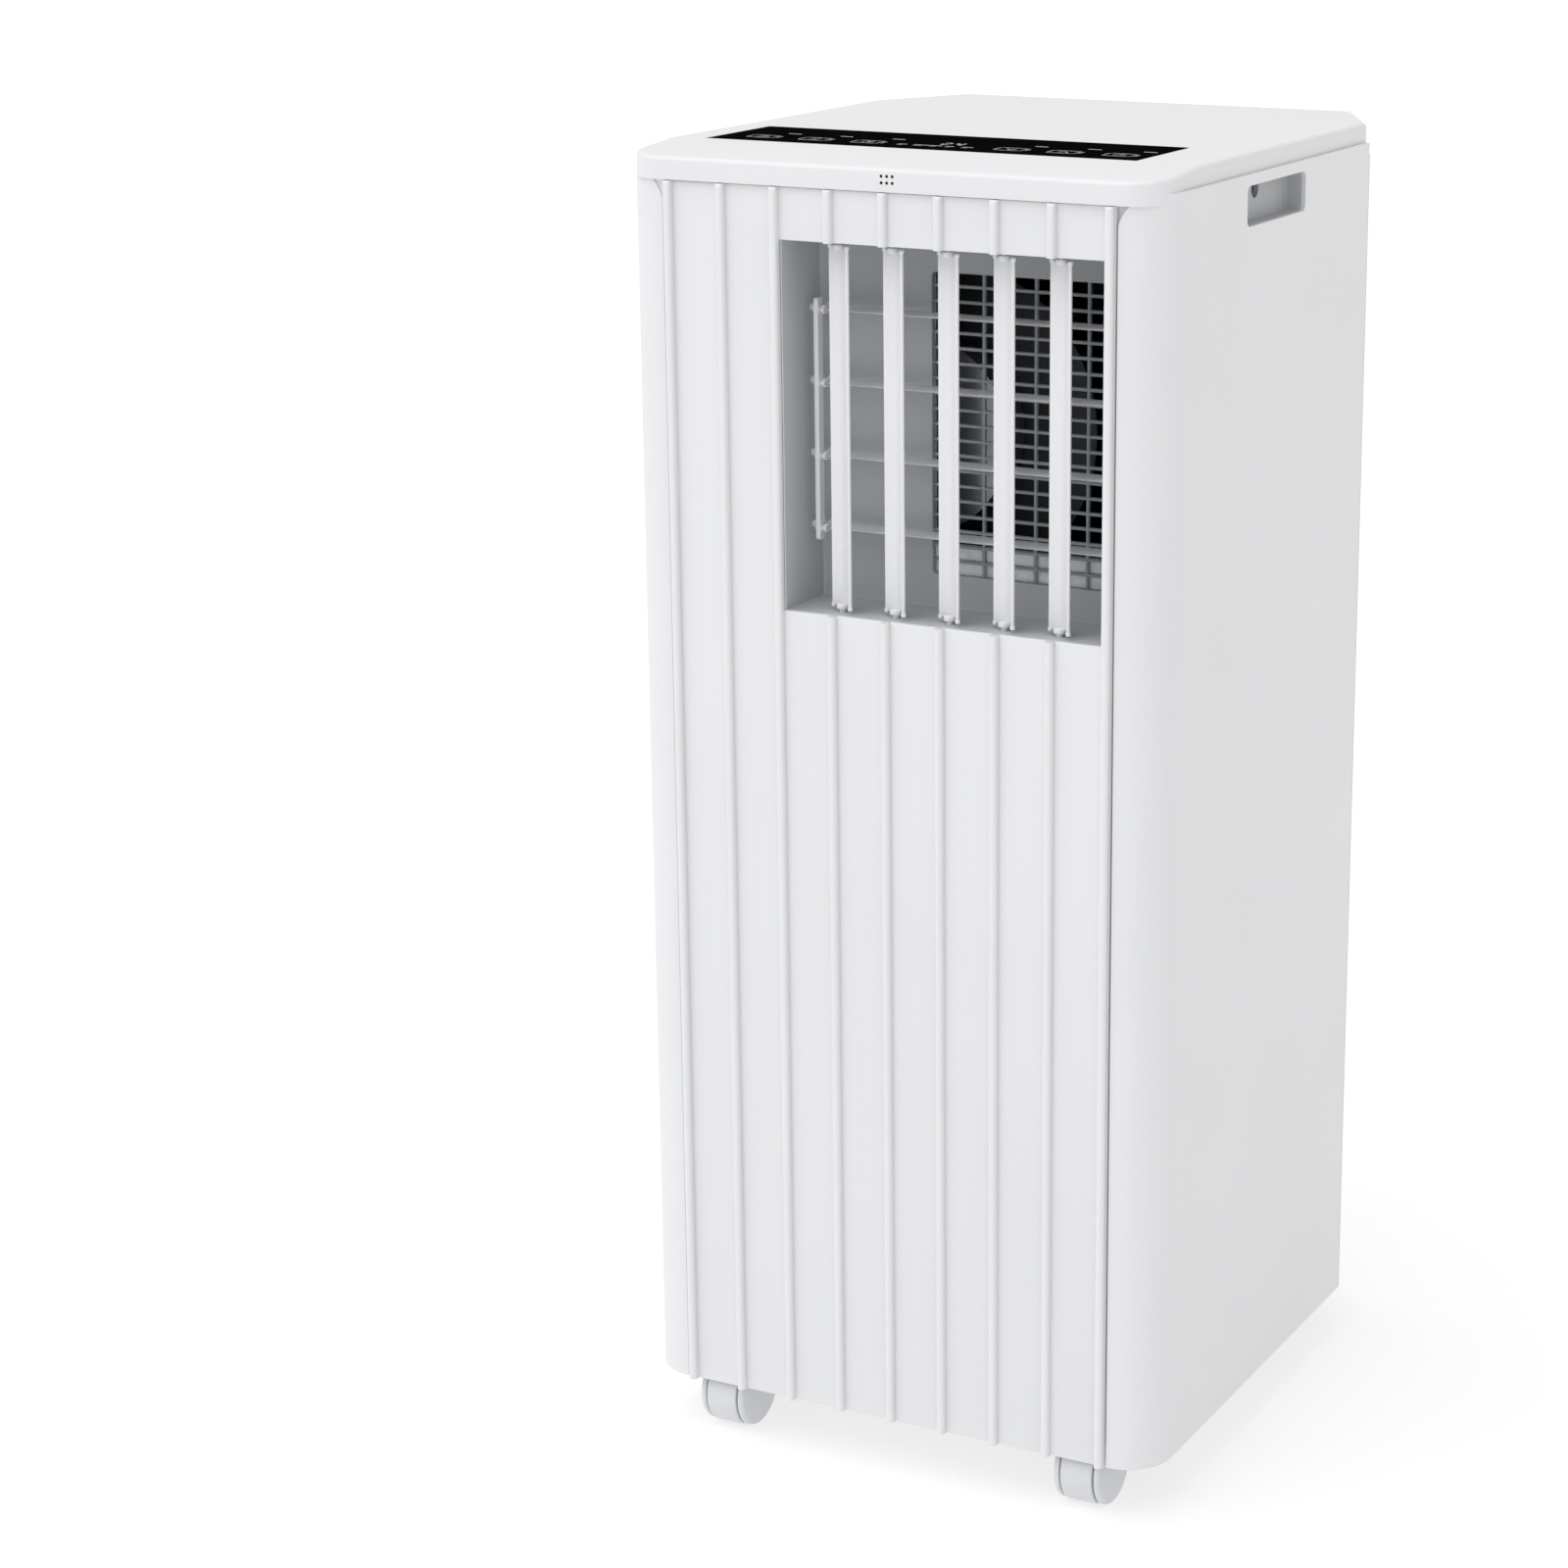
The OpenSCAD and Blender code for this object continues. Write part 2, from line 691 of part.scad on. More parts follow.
module cold_blower_wheel() {
    color("gray") translate([cold_x, cold_wheel_y, cold_z]) rotate([-90, 0, 0])
        cage_wheel(cold_wheel_r, cold_wheel_w, shaft_len);
}

// A fan motor along +Z with a bearing bore at its top
module fan_motor(r, h) {
    difference() {
        union() {
            cylinder(r = r, h = h);
            cylinder(r = r + 5, h = 3);
            translate([0, 0, h - 1]) cylinder(r = 11, h = 4);
        }
        translate([0, 0, 4]) cylinder(r = shaft_r + run, h = h);
    }
}

module cold_blower_motor() {
    color("silver") translate([cold_x, foam_y0 + foam_front, cold_z]) rotate([-90, 0, 0])
        fan_motor(motor_r + 8, cold_motor_h);
}

module warm_blower_housing() {
    color("gainsboro") difference() {
        union() {
            box([-warm_w / 2, warm_y - warm_w / 2, warm_z0], [warm_w / 2, warm_y + 40, warm_z1]);
            box([-warm_outlet_w / 2 - 4, warm_y + 30, warm_z0], [warm_outlet_w / 2 + 4, warm_rear_y, warm_z1]);
            box([gap / 2 - post_x + post / 2, post_front_y - 5, exhaust_z - 6],
                [post_x - post / 2 - gap / 2, post_front_y + 5, exhaust_z + 6]);
        }
        bar_z([0, warm_y, warm_z0 + warm_wall], warm_cavity_r, warm_z1 - warm_z0 - 2 * warm_wall);
        box([-warm_outlet_w / 2, warm_y, warm_z0 + warm_wall], [warm_outlet_w / 2, warm_rear_y + 1, warm_z1 - warm_wall]);
        bar_z([0, warm_y, warm_z0 - 1], warm_wheel_r - 18, 10);
        bar_z([0, warm_y, warm_z1 - warm_wall - 1], 14, 10);
    }
}

module warm_blower_wheel() {
    z = warm_z1 - warm_wall - 5;
    color("gray") translate([0, warm_y, z]) mirror([0, 0, 1]) cage_wheel(warm_wheel_r, warm_wheel_h, shaft_len);
}

module warm_blower_motor() {
    color("silver") translate([0, warm_y, deck_z]) mirror([0, 0, 1]) difference() {
        union() {
            cylinder(r = motor_r, h = motor_h);
            translate([0, 0, motor_h - 3]) cylinder(r = motor_r + 5, h = 3);
        }
        translate([0, 0, 3]) cylinder(r = shaft_r + run, h = motor_h);
    }
}

// A coil: a comb of fins, two end plates and the return bends of its tubes
module coil(z, h, leg) {
    pitch = 5;
    count = floor((coil_w - 4) / pitch);
    x0 = -count * pitch / 2;
    color("silver") {
        translate([0, 0, z + 2]) linear_extrude(h - 4) {
            translate([x0, coil_y + coil_d / 2 - 2]) square([count * pitch, 4]);
            for (i = [0:count]) translate([x0 + i * pitch - 0.4, coil_y]) square([0.8, coil_d]);
        }
        for (s = [-1, 1]) {
            x = s * coil_w / 2;
            box([x - 1, coil_y - 1, z], [x + 1, coil_y + coil_d + 1, z + h]);
            box([x - 1, coil_y + 16, z - leg], [x + 1, coil_y + coil_d + 1, z + 1]);
        }
    }
    rows = floor((h - bend_pitch / 2) / bend_pitch);
    color("chocolate") for (s = [-1, 1]) for (k = [0:rows - 1]) for (d = [0.28, 0.72])
        translate([s * (coil_w / 2 + 1 - eps), coil_y + d * coil_d, z + bend_pitch * (k + 0.5)]) u_bend(s);
}

// A tube's return bend: half a ring that stands out sideways
module u_bend(s) {
    rotate([90, 0, 0]) rotate([0, 0, s > 0 ? 0 : 180]) intersection() {
        rotate_extrude() translate([9, 0]) circle(3.5);
        translate([0, -20, -10]) cube([20, 40, 20]);
    }
}

module evaporator_coil() {
    coil(upper_window_z, upper_window_h - 12, upper_window_z - deck_z - deck_t);
}

module condenser_coil() {
    coil(lower_window_z, lower_window_h, lower_window_z - floor_z - floor_t);
}

module compressor() {
    color("dimgray") difference() {
        union() {
            translate([comp_x, comp_y, comp_z + 3]) rotate_extrude() polygon(concat(
                [[0, 0], [comp_r - 6, 0], [comp_r, 8], [comp_r, comp_h - 30]],
                [for (a = [0:15:90]) [comp_r - 20 + 20 * cos(a), comp_h - 30 + 20 * sin(a)]],
                [[0, comp_h - 4]]
            ));
            bar_z([comp_x, comp_y, comp_z], foot_pcd_r - 14, 4);
            for (a = foot_angles) translate([comp_x, comp_y, comp_z]) rotate(a)
                translate([20, -13, 0]) cube([foot_pcd_r - 8, 26, 3]);
            bar_z([comp_x + 15, comp_y, comp_z + comp_h - 8], 13, 12);
        }
        for (a = foot_angles)
            bar_z([comp_x + foot_pcd_r * cos(a), comp_y + foot_pcd_r * sin(a), comp_z - 1], 5, 6);
    }
}

module compressor_grommets() {
    color("black") for (a = foot_angles)
        translate([comp_x + foot_pcd_r * cos(a), comp_y + foot_pcd_r * sin(a), floor_z + floor_t]) difference() {
            union() {
                cylinder(r = 9, h = 14);
                cylinder(r = 4.8, h = 19);
            }
            translate([0, 0, -1]) cylinder(r = stud_r + run, h = 30);
        }
}

acc_x = comp_x + comp_r + 34;
acc_y = comp_y - 20;
acc_r = 24;
acc_z = comp_z + 30;
acc_h = 130;

module accumulator() {
    color("dimgray") {
        translate([acc_x, acc_y, acc_z]) rotate_extrude() polygon([
            [0, -8], [acc_r - 8, -8], [acc_r, 4], [acc_r, acc_h - 12], [acc_r - 8, acc_h], [0, acc_h]
        ]);
        box([comp_x + comp_r + gap / 2, acc_y + 8, acc_z + 60], [acc_x - acc_r + 2, acc_y + 11, acc_z + 80]);
    }
}

// A copper tube through a list of points, with a fitting at each turn
module tube_run(points, r) {
    for (i = [0:len(points) - 2]) {
        d = points[i + 1] - points[i];
        l = norm(d);
        translate(points[i]) rotate([0, acos(d[2] / l), atan2(d[1], d[0])]) cylinder(r = r, h = l);
    }
    for (i = [1:len(points) - 2]) translate(points[i]) sphere(r + 0.6);
}

module suction_pipe() {
    x = pipe_x;
    top = acc_z + acc_h;
    color("chocolate") tube_run([
        [acc_x, acc_y, top], [acc_x, acc_y, top + 16], [x, acc_y, top + 16],
        [x, acc_y, upper_window_z + bend_pitch],
        [x, pipe_end_y, upper_window_z + bend_pitch], [coil_w / 2 + 2, pipe_end_y, upper_window_z + bend_pitch]
    ], pipe_r);
}

module discharge_pipe() {
    top = comp_z + comp_h - 1;
    x = -pipe_x;
    color("chocolate") tube_run([
        [comp_x - 20, comp_y, top], [comp_x - 20, comp_y, top + 12], [x, comp_y, top + 12],
        [x, pipe_end_y, top + 12], [x, pipe_end_y, lower_window_z + 2 * bend_pitch],
        [-coil_w / 2 - 2, pipe_end_y, lower_window_z + 2 * bend_pitch]
    ], pipe_r);
}

module power_box() {
    x1 = outlet_x0 - duct_wall - gap;
    x0 = x1 - 52;
    z0 = vane_z(0) + 24;
    color("dimgray") difference() {
        box([x0, front_y + 5, z0], [x1, front_y + 43, outlet_top]);
        box([x0 + 2, front_y + 7, z0 + 2], [x1 - 2, front_y + 44, outlet_top - 2]);
    }
    color("darkgreen") box([x0 + 2, front_y + 12, z0 + 4], [x1 - 2, front_y + 13.6, outlet_top - 4]);
}

module capacitor() {
    color("silver") {
        bar_z([86, front_y + 60, floor_z + floor_t], 20, 70);
        for (s = [-1, 1]) box([86 + 6 * s - 1, front_y + 57, floor_z + floor_t + 69], [86 + 6 * s + 1, front_y + 63, floor_z + floor_t + 78]);
    }
}

// ---- Rear ----

// A filter cassette: frame, upright slats, three cross bars and a finger slot
module filter_frame(z, h) {
    w = window_w / 2 - filter_gap;
    z0 = z + filter_gap;
    z1 = z + h - filter_gap;
    b = 9;
    slats = 16;
    pitch = (2 * (w - b) + 2) / slats;
    color("white") difference() {
        box([-w, frame_y, z0], [w, rear_y, z1]);
        for (i = [0:slats - 1]) for (k = [0:2]) {
            hk = (z1 - z0 - 2 * b + 4) / 3;
            box([-w + b + i * pitch, frame_y + 3, z0 + b + k * hk],
                [-w + b + (i + 1) * pitch - 2, rear_y + 1, z0 + b + (k + 1) * hk - 4]);
        }
        box([-w + b, frame_y - 1, z0 + b], [w - b, frame_y + 4, z1 - b]);
        box([-22, rear_y - 3, z1 - 6], [22, rear_y + 1, z1 + 1]);
    }
}

module upper_filter() {
    filter_frame(upper_window_z, upper_window_h);
}

module lower_filter() {
    filter_frame(lower_window_z, lower_window_h);
}

// Hose collar: a ring through the rear panel, with a flange inside
module exhaust_collar() {
    y0 = warm_rear_y + gap / 2;
    color("lightgray") {
        difference() {
            union() {
                bar_y([0, y0, exhaust_z], exhaust_r + collar_t, rear_y - y0);
                bar_y([0, y0, exhaust_z], exhaust_r + collar_t + 6, 4);
            }
            bar_y([0, y0 - 1, exhaust_z], exhaust_r, through);
        }
    }
}

// A rubber plug in a drain spout, with a finger bar
module drain_plug(x, z) {
    y = panel_rear_y - 3 + gap / 2;
    color("dimgray") {
        bar_y([x, y, z], spout_r + 1, 3);
        bar_y([x, y - 14, z], drain_r - run, 15);
        box([x - 1.5, y + 2, z - 7], [x + 1.5, rear_y - gap / 2, z + 7]);
    }
}

module upper_drain_cap() {
    drain_plug(upper_drain_x, deck_z - 3);
}

module lower_drain_plug() {
    drain_plug(drain_x, floor_z + 13);
}

module cord_gland() {
    color("dimgray") difference() {
        union() {
            bar_y([gland_x, panel_rear_y - 12, gland_z], gland_r - 0.1, 12);
            bar_y([gland_x, panel_rear_y, gland_z], gland_r + 2.5, 2);
        }
        bar_y([gland_x, side_back_y, gland_z], cord_r, through);
    }
}

module panel_screws() {
    color("silver") for (s = [-1, 1]) for (z = screw_zs) {
        bar_y([s * screw_x, panel_rear_y, z], 3.2, 1.8);
        bar_y([s * screw_x, panel_rear_y - 11, z], screw_r - 0.1, 12);
    }
}

// ---- Casters ----

module caster_sockets() {
    color("gray") for (p = caster_places) translate([p[0], p[1], floor_z - 3]) difference() {
        union() {
            cylinder(r = socket_r - 0.1, h = 20);
            cylinder(r = socket_r + 3, h = 1);
        }
        translate([0, 0, -1]) cylinder(r = stem_r + run, h = 19.5);
    }
}

// A caster's swivel hood: cover over the wheels, axle boss and stem
module caster_hood(i) {
    p = caster_places[i];
    ax = p[1] - caster_trail;
    r = wheel_r + 0.5;
    color("gainsboro") difference() {
        union() {
            difference() {
                bar_x([p[0] - hood_half, ax, wheel_r], r, 2 * hood_half);
                box([p[0] - caster_w, ax - 5, -5], [p[0] + caster_w, ax + 2 * r, wheel_r - 6]);
                box([p[0] - caster_w, ax - 2 * r, -5], [p[0] + caster_w, ax + 2 * r, 3]);
            }
            box([p[0] - hood_half, ax, wheel_r + 2], [p[0] + hood_half, p[1] + stem_r + 2, wheel_r + 18]);
            bar_z([p[0], p[1], wheel_r + 2], stem_r + 2, floor_z - 3.6 - wheel_r - 2);
            bar_z([p[0], p[1], wheel_r + 10], stem_r, floor_z + 13 - wheel_r - 10);
            bar_x([p[0] - hood_half, ax, wheel_r], 7, 2 * hood_half);
        }
        bar_x([p[0] - caster_w, ax, wheel_r], axle_r + run, 2 * caster_w);
    }
}

// A caster's pair of wheels on their axle
module caster_wheels(i) {
    p = caster_places[i];
    ax = p[1] - caster_trail;
    t = caster_w / 2 - hood_half - gap;
    color("lightgray") {
        for (s = [-1, 1]) {
            translate([p[0] + s * (hood_half + gap), ax, wheel_r]) rotate([0, 90 * s, 0]) rotate_extrude() polygon([
                [0, 0], [wheel_r, 0], [wheel_r, t - 2.5], [wheel_r - 2, t - 0.8], [wheel_r - 6, t], [0, t]
            ]);
        }
        bar_x([p[0] - caster_w / 2 + 1, ax, wheel_r], axle_r, caster_w - 2);
    }
}

// ---- Assembly ----

base_pan();
front_panel();
left_side_panel();
right_side_panel();
rear_panel();
top_cover();
left_handle_cup();
right_handle_cup();
outlet_duct();
outlet_grille();
mid_deck();
deck_posts();
control_glass();
control_board();
power_box();
capacitor();
louvre(0);  // louvre_1
louvre(1);  // louvre_2
louvre(2);  // louvre_3
louvre(3);  // louvre_4
louvre(4);  // louvre_5
louvre_link();
vane(0);  // vane_1
vane(1);  // vane_2
vane(2);  // vane_3
vane(3);  // vane_4
vane_link();
vane_motor();
evaporator_coil();
cold_blower_housing();
cold_blower_wheel();
cold_blower_motor();
condenser_coil();
warm_blower_housing();
warm_blower_wheel();
warm_blower_motor();
compressor();
compressor_grommets();
accumulator();
suction_pipe();
discharge_pipe();
upper_filter();
lower_filter();
exhaust_collar();
upper_drain_cap();
lower_drain_plug();
cord_gland();
panel_screws();
caster_sockets();
caster_hood(0);  // caster_hood_1
caster_hood(1);  // caster_hood_2
caster_hood(2);  // caster_hood_3
caster_hood(3);  // caster_hood_4
caster_wheels(0);  // caster_wheels_1
caster_wheels(1);  // caster_wheels_2
caster_wheels(2);  // caster_wheels_3
caster_wheels(3);  // caster_wheels_4
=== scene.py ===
from math import asin, cos, pi, radians, sin, sqrt

import bmesh
import bpy
from mathutils import Matrix, Vector


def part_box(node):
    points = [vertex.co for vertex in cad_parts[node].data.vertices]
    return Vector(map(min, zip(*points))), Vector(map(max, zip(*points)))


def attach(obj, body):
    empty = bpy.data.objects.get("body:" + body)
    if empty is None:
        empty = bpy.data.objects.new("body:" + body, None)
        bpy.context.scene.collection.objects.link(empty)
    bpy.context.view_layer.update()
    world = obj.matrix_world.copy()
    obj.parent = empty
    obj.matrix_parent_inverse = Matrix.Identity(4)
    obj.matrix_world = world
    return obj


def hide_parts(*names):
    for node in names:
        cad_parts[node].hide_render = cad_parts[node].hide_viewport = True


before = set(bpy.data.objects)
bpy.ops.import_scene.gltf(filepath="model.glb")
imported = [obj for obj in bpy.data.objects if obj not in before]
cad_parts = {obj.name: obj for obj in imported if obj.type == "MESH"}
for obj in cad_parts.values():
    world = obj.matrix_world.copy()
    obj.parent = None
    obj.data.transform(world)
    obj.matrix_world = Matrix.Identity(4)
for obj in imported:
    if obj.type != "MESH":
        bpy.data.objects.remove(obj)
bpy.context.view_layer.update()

MM = 0.001

# ---- Side panels ----
# One moulded ABS sheet each, wrapped round the front corner, with a large radius where it
# meets the lid. A slot in it takes the handle cup. They clip to the base and to the front panel.


def moulded_skin_group():
    """The skin of a moulded part: mottled tone, uneven roughness and a fine grain."""
    tree = bpy.data.node_groups.new("moulded_skin", "ShaderNodeTree")
    sockets = [
        ("Colour", "NodeSocketColor"), ("Tone", "NodeSocketFloat"), ("Mottle", "NodeSocketFloat"),
        ("Roughness", "NodeSocketFloat"), ("Spread", "NodeSocketFloat"), ("Grain", "NodeSocketFloat"),
        ("Depth", "NodeSocketFloat"), ("Stretch", "NodeSocketVector"),
    ]
    for name, kind in sockets:
        tree.interface.new_socket(name=name, in_out="INPUT", socket_type=kind)
    results = [("Colour", "NodeSocketColor"), ("Roughness", "NodeSocketFloat"), ("Normal", "NodeSocketVector")]
    for name, kind in results:
        tree.interface.new_socket(name=name, in_out="OUTPUT", socket_type=kind)
    node, link = tree.nodes.new, tree.links.new
    given, result = node("NodeGroupInput"), node("NodeGroupOutput")
    place = node("ShaderNodeTexCoord")
    pull = node("ShaderNodeVectorMath")
    pull.operation = "MULTIPLY"
    link(place.outputs["Object"], pull.inputs[0])
    link(given.outputs["Stretch"], pull.inputs[1])
    mottle, grain = node("ShaderNodeTexNoise"), node("ShaderNodeTexNoise")
    for noise, size, detail in ((mottle, "Mottle", 4.0), (grain, "Grain", 2.0)):
        link(pull.outputs[0], noise.inputs["Vector"])
        link(given.outputs[size], noise.inputs["Scale"])
        noise.inputs["Detail"].default_value = detail
    shade = node("ShaderNodeMath")
    shade.operation = "MULTIPLY"
    link(mottle.outputs["Fac"], shade.inputs[0])
    link(given.outputs["Tone"], shade.inputs[1])
    keep = node("ShaderNodeMath")
    keep.operation = "SUBTRACT"
    keep.inputs[0].default_value = 1.0
    link(shade.outputs[0], keep.inputs[1])
    tint = node("ShaderNodeVectorMath")
    tint.operation = "SCALE"
    link(given.outputs["Colour"], tint.inputs[0])
    link(keep.outputs[0], tint.inputs["Scale"])
    link(tint.outputs[0], result.inputs["Colour"])
    centred = node("ShaderNodeMath")
    centred.operation = "SUBTRACT"
    link(mottle.outputs["Fac"], centred.inputs[0])
    centred.inputs[1].default_value = 0.5
    rough = node("ShaderNodeMath")
    rough.operation = "MULTIPLY_ADD"
    link(centred.outputs[0], rough.inputs[0])
    link(given.outputs["Spread"], rough.inputs[1])
    link(given.outputs["Roughness"], rough.inputs[2])
    link(rough.outputs[0], result.inputs["Roughness"])
    bump = node("ShaderNodeBump")
    link(grain.outputs["Fac"], bump.inputs["Height"])
    link(given.outputs["Depth"], bump.inputs["Distance"])
    link(bump.outputs["Normal"], result.inputs["Normal"])
    return tree


MOULDED_SKIN = moulded_skin_group()


def moulded(name, colour, tone=0.05, mottle=14, roughness=0.4, spread=0.12, grain=2200, depth=0.00003,
            stretch=(1, 1, 1), metallic=0.0, coat=0.0):
    """A material whose colour, roughness and grain come from the moulded skin."""
    material = bpy.data.materials.new(name)
    material.use_nodes = True
    tree = material.node_tree
    shader = tree.nodes["Principled BSDF"]
    skin = tree.nodes.new("ShaderNodeGroup")
    skin.node_tree = MOULDED_SKIN
    values = {"Tone": tone, "Mottle": mottle, "Roughness": roughness, "Spread": spread,
              "Grain": grain, "Depth": depth, "Stretch": stretch}
    skin.inputs["Colour"].default_value = (*colour, 1)
    for key, value in values.items():
        skin.inputs[key].default_value = value
    tree.links.new(skin.outputs["Colour"], shader.inputs["Base Color"])
    tree.links.new(skin.outputs["Roughness"], shader.inputs["Roughness"])
    tree.links.new(skin.outputs["Normal"], shader.inputs["Normal"])
    shader.inputs["Metallic"].default_value = metallic
    shader.inputs["Coat Weight"].default_value = coat
    shader.inputs["Coat Roughness"].default_value = 0.12
    return material


def block(bm, low, high):
    """A box between two corners. Returns its vertices."""
    low, high = Vector(low), Vector(high)
    made = bmesh.ops.create_cube(bm, size=1.0)["verts"]
    bmesh.ops.scale(bm, vec=high - low, verts=made)
    bmesh.ops.translate(bm, vec=(low + high) / 2, verts=made)
    return made


def edges_of(verts, test):
    """The edges between these vertices whose two ends pass the test."""
    chosen = {e for v in verts for e in v.link_edges if e.other_vert(v) in verts}
    return [e for e in chosen if test(e.verts[0].co, e.verts[1].co)]


def soften(bm, edges, radius, steps=3):
    """Rounds edges."""
    bmesh.ops.bevel(bm, geom=edges, offset=radius, offset_type="OFFSET", affect="EDGES",
                    segments=steps, profile=0.5, material=-1, clamp_overlap=True)


def ring_of(bm, points):
    """A closed loop of edges through points."""
    verts = [bm.verts.new(p) for p in points]
    return [bm.edges.new((a, b)) for a, b in zip(verts, verts[1:] + verts[:1])]


def round_slot(low, high, radius, steps=6):
    """Corner points of a flat rounded rectangle, as (across, up) pairs."""
    points = []
    for turn, (across, up) in enumerate([(high, high), (low, high), (low, low), (high, low)]):
        centre = (across[0] + (radius if across is low else -radius),
                  up[1] + (radius if up is low else -radius))
        for k in range(steps + 1):
            angle = (turn + k / steps) * pi / 2
            points.append((centre[0] + radius * cos(angle), centre[1] + radius * sin(angle)))
    return points


def place(bm, name, material, body, slot, replaces=(), sharp=35, soft=0.0, wall=0.0, weld=True):
    """Makes a piece of a bmesh: one material, riding on a body, standing for CAD nodes."""
    if weld:
        bmesh.ops.remove_doubles(bm, verts=bm.verts, dist=1e-6)
    bmesh.ops.recalc_face_normals(bm, faces=bm.faces)
    if wall:
        bmesh.ops.solidify(bm, geom=bm.faces[:], thickness=wall)
        bmesh.ops.recalc_face_normals(bm, faces=bm.faces)
    mesh = bpy.data.meshes.new(name)
    bm.to_mesh(mesh)
    bm.free()
    mesh.shade_smooth()
    mesh.materials.append(material)
    piece = bpy.data.objects.new(name, mesh)
    bpy.context.collection.objects.link(piece)
    if soft:
        edge = piece.modifiers.new("soft_edges", "BEVEL")
        edge.width, edge.segments, edge.limit_method = soft, 3, "ANGLE"
        edge.angle_limit, edge.harden_normals = radians(40), True
    else:
        mesh.set_sharp_from_angle(angle=radians(sharp))
    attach(piece, body)
    if replaces:
        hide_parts(*replaces)
    return piece


SHELL_WHITE = moulded("shell_white", (0.745, 0.75, 0.76), tone=0.03, roughness=0.42)
WALL = 2.5 * MM
GAP = 0.4 * MM
side_low, side_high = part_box("right_side_panel")
cup_low, cup_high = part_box("right_handle_cup")
FACE = side_low.y
SEAM = side_low.x
HALF = side_high.x
SIDE_TOP = side_high.z
GROUND = side_low.z
CORNER = 25 * MM
TOP_CORNER = 20 * MM
CUP_WALL = 1.6 * MM
HANDLE_LOW = (cup_low.y + CUP_WALL, cup_low.z + CUP_WALL)
HANDLE_HIGH = (cup_high.y - CUP_WALL, cup_high.z - CUP_WALL)
HANDLE_ROUND = 3.5 * MM
SEAM_LAP = 0.6 * MM


def side_top_at(x):
    """Height of a side panel's top edge, which falls in a quarter circle to the seam."""
    along = max(0.0, min(1.0, (x - SEAM) / TOP_CORNER))
    return SIDE_TOP - TOP_CORNER + TOP_CORNER * sqrt(1 - (1 - along) ** 2)


def corner_path(first_x, inset=0.0, steps=14):
    """Points from the flat side round the front corner to first_x on the front, seen from above."""
    radius = CORNER - inset
    centre = Vector((HALF - CORNER, FACE + CORNER))
    angles = [-k * pi / 2 / steps for k in range(steps + 1)]
    path = [centre + radius * Vector((cos(a), sin(a))) for a in angles]
    run = first_x - centre.x
    if run < 0:
        path += [Vector((centre.x + run * k / 4, FACE + inset)) for k in range(1, 5)]
    return path


def side_panel(sign, name, node):
    bm = bmesh.new()
    back = side_high.y
    front = FACE + CORNER
    flat = [(front, GROUND), (back, GROUND), (back, SIDE_TOP), (front, SIDE_TOP)]
    loops = ring_of(bm, [(HALF, y, z) for y, z in flat])
    loops += ring_of(bm, [(HALF, y, z) for y, z in round_slot(HANDLE_LOW, HANDLE_HIGH, HANDLE_ROUND)])
    leading = loops[3]
    bmesh.ops.triangle_fill(bm, edges=loops, use_beauty=True)
    for point in corner_path(SEAM + SEAM_LAP)[1:]:
        made = bmesh.ops.extrude_edge_only(bm, edges=[leading])["geom"]
        leading = next(e for e in made if isinstance(e, bmesh.types.BMEdge) and len(e.link_faces) == 1
                       and abs(e.verts[0].co.z - e.verts[1].co.z) > CORNER)
        low_vert, high_vert = sorted(leading.verts, key=lambda v: v.co.z)
        low_vert.co = (point.x, point.y, GROUND)
        high_vert.co = (point.x, point.y, side_top_at(point.x))
    bmesh.ops.scale(bm, vec=(sign, 1, 1), verts=bm.verts)
    place(bm, name, SHELL_WHITE, "cabinet", "white_shell", [node], soft=0.6 * MM, wall=WALL)


side_panel(1, "right_side_sheet", "right_side_panel")
side_panel(-1, "left_side_sheet", "left_side_panel")

# ---- Handle cups ----
# A shallow pale pocket behind each side panel's slot, moulded in ABS, with rounded inner corners.
# A blind slot in its back wall, under the top, has a near-black sheet at its bottom, painted shade in the slot.
# The cup is glued to the back of the panel.

# Painted shade: the colour of the near-black sheet at the bottom of each handle slot.
SLOT_PAINTED_SHADE = moulded("slot_painted_shade", (0.05, 0.055, 0.06), tone=0.1, roughness=0.7)
CUP_GREY = moulded("cup_grey", (0.5, 0.51, 0.52), tone=0.05, roughness=0.5)
INNER_ROUND = 1.2 * MM
SLOT_DEPTH = 4 * MM
SLOT_RADIUS = 4.5 * MM
SLOT_OFFSET = 36 * MM
SLOT_DROP = 5.3 * MM
SHADE_SHEET_THICK = 1.2 * MM


def new_verts(made):
    """The vertices among what an extrusion made."""
    return [v for v in made if isinstance(v, bmesh.types.BMVert)]


def shift(bm, made, vec):
    """Moves what an extrusion made."""
    bmesh.ops.translate(bm, vec=vec, verts=new_verts(made))


def open_edges(geom):
    """The edges in geom that have a face on one side only."""
    return [e for e in geom if isinstance(e, bmesh.types.BMEdge) and e.is_boundary]


def flat_prism(bm, points, vec):
    """A solid grown along vec from a flat outline."""
    face = bmesh.ops.contextual_create(bm, geom=ring_of(bm, points))["faces"]
    shift(bm, bmesh.ops.extrude_face_region(bm, geom=face)["geom"], vec)


def tube(bm, loops):
    """Joins closed loops of points in turn. Returns the last loop's edges."""
    rings = [ring_of(bm, points) for points in loops]
    for near, far in zip(rings, rings[1:]):
        bmesh.ops.bridge_loops(bm, edges=near + far)
    return rings[-1]


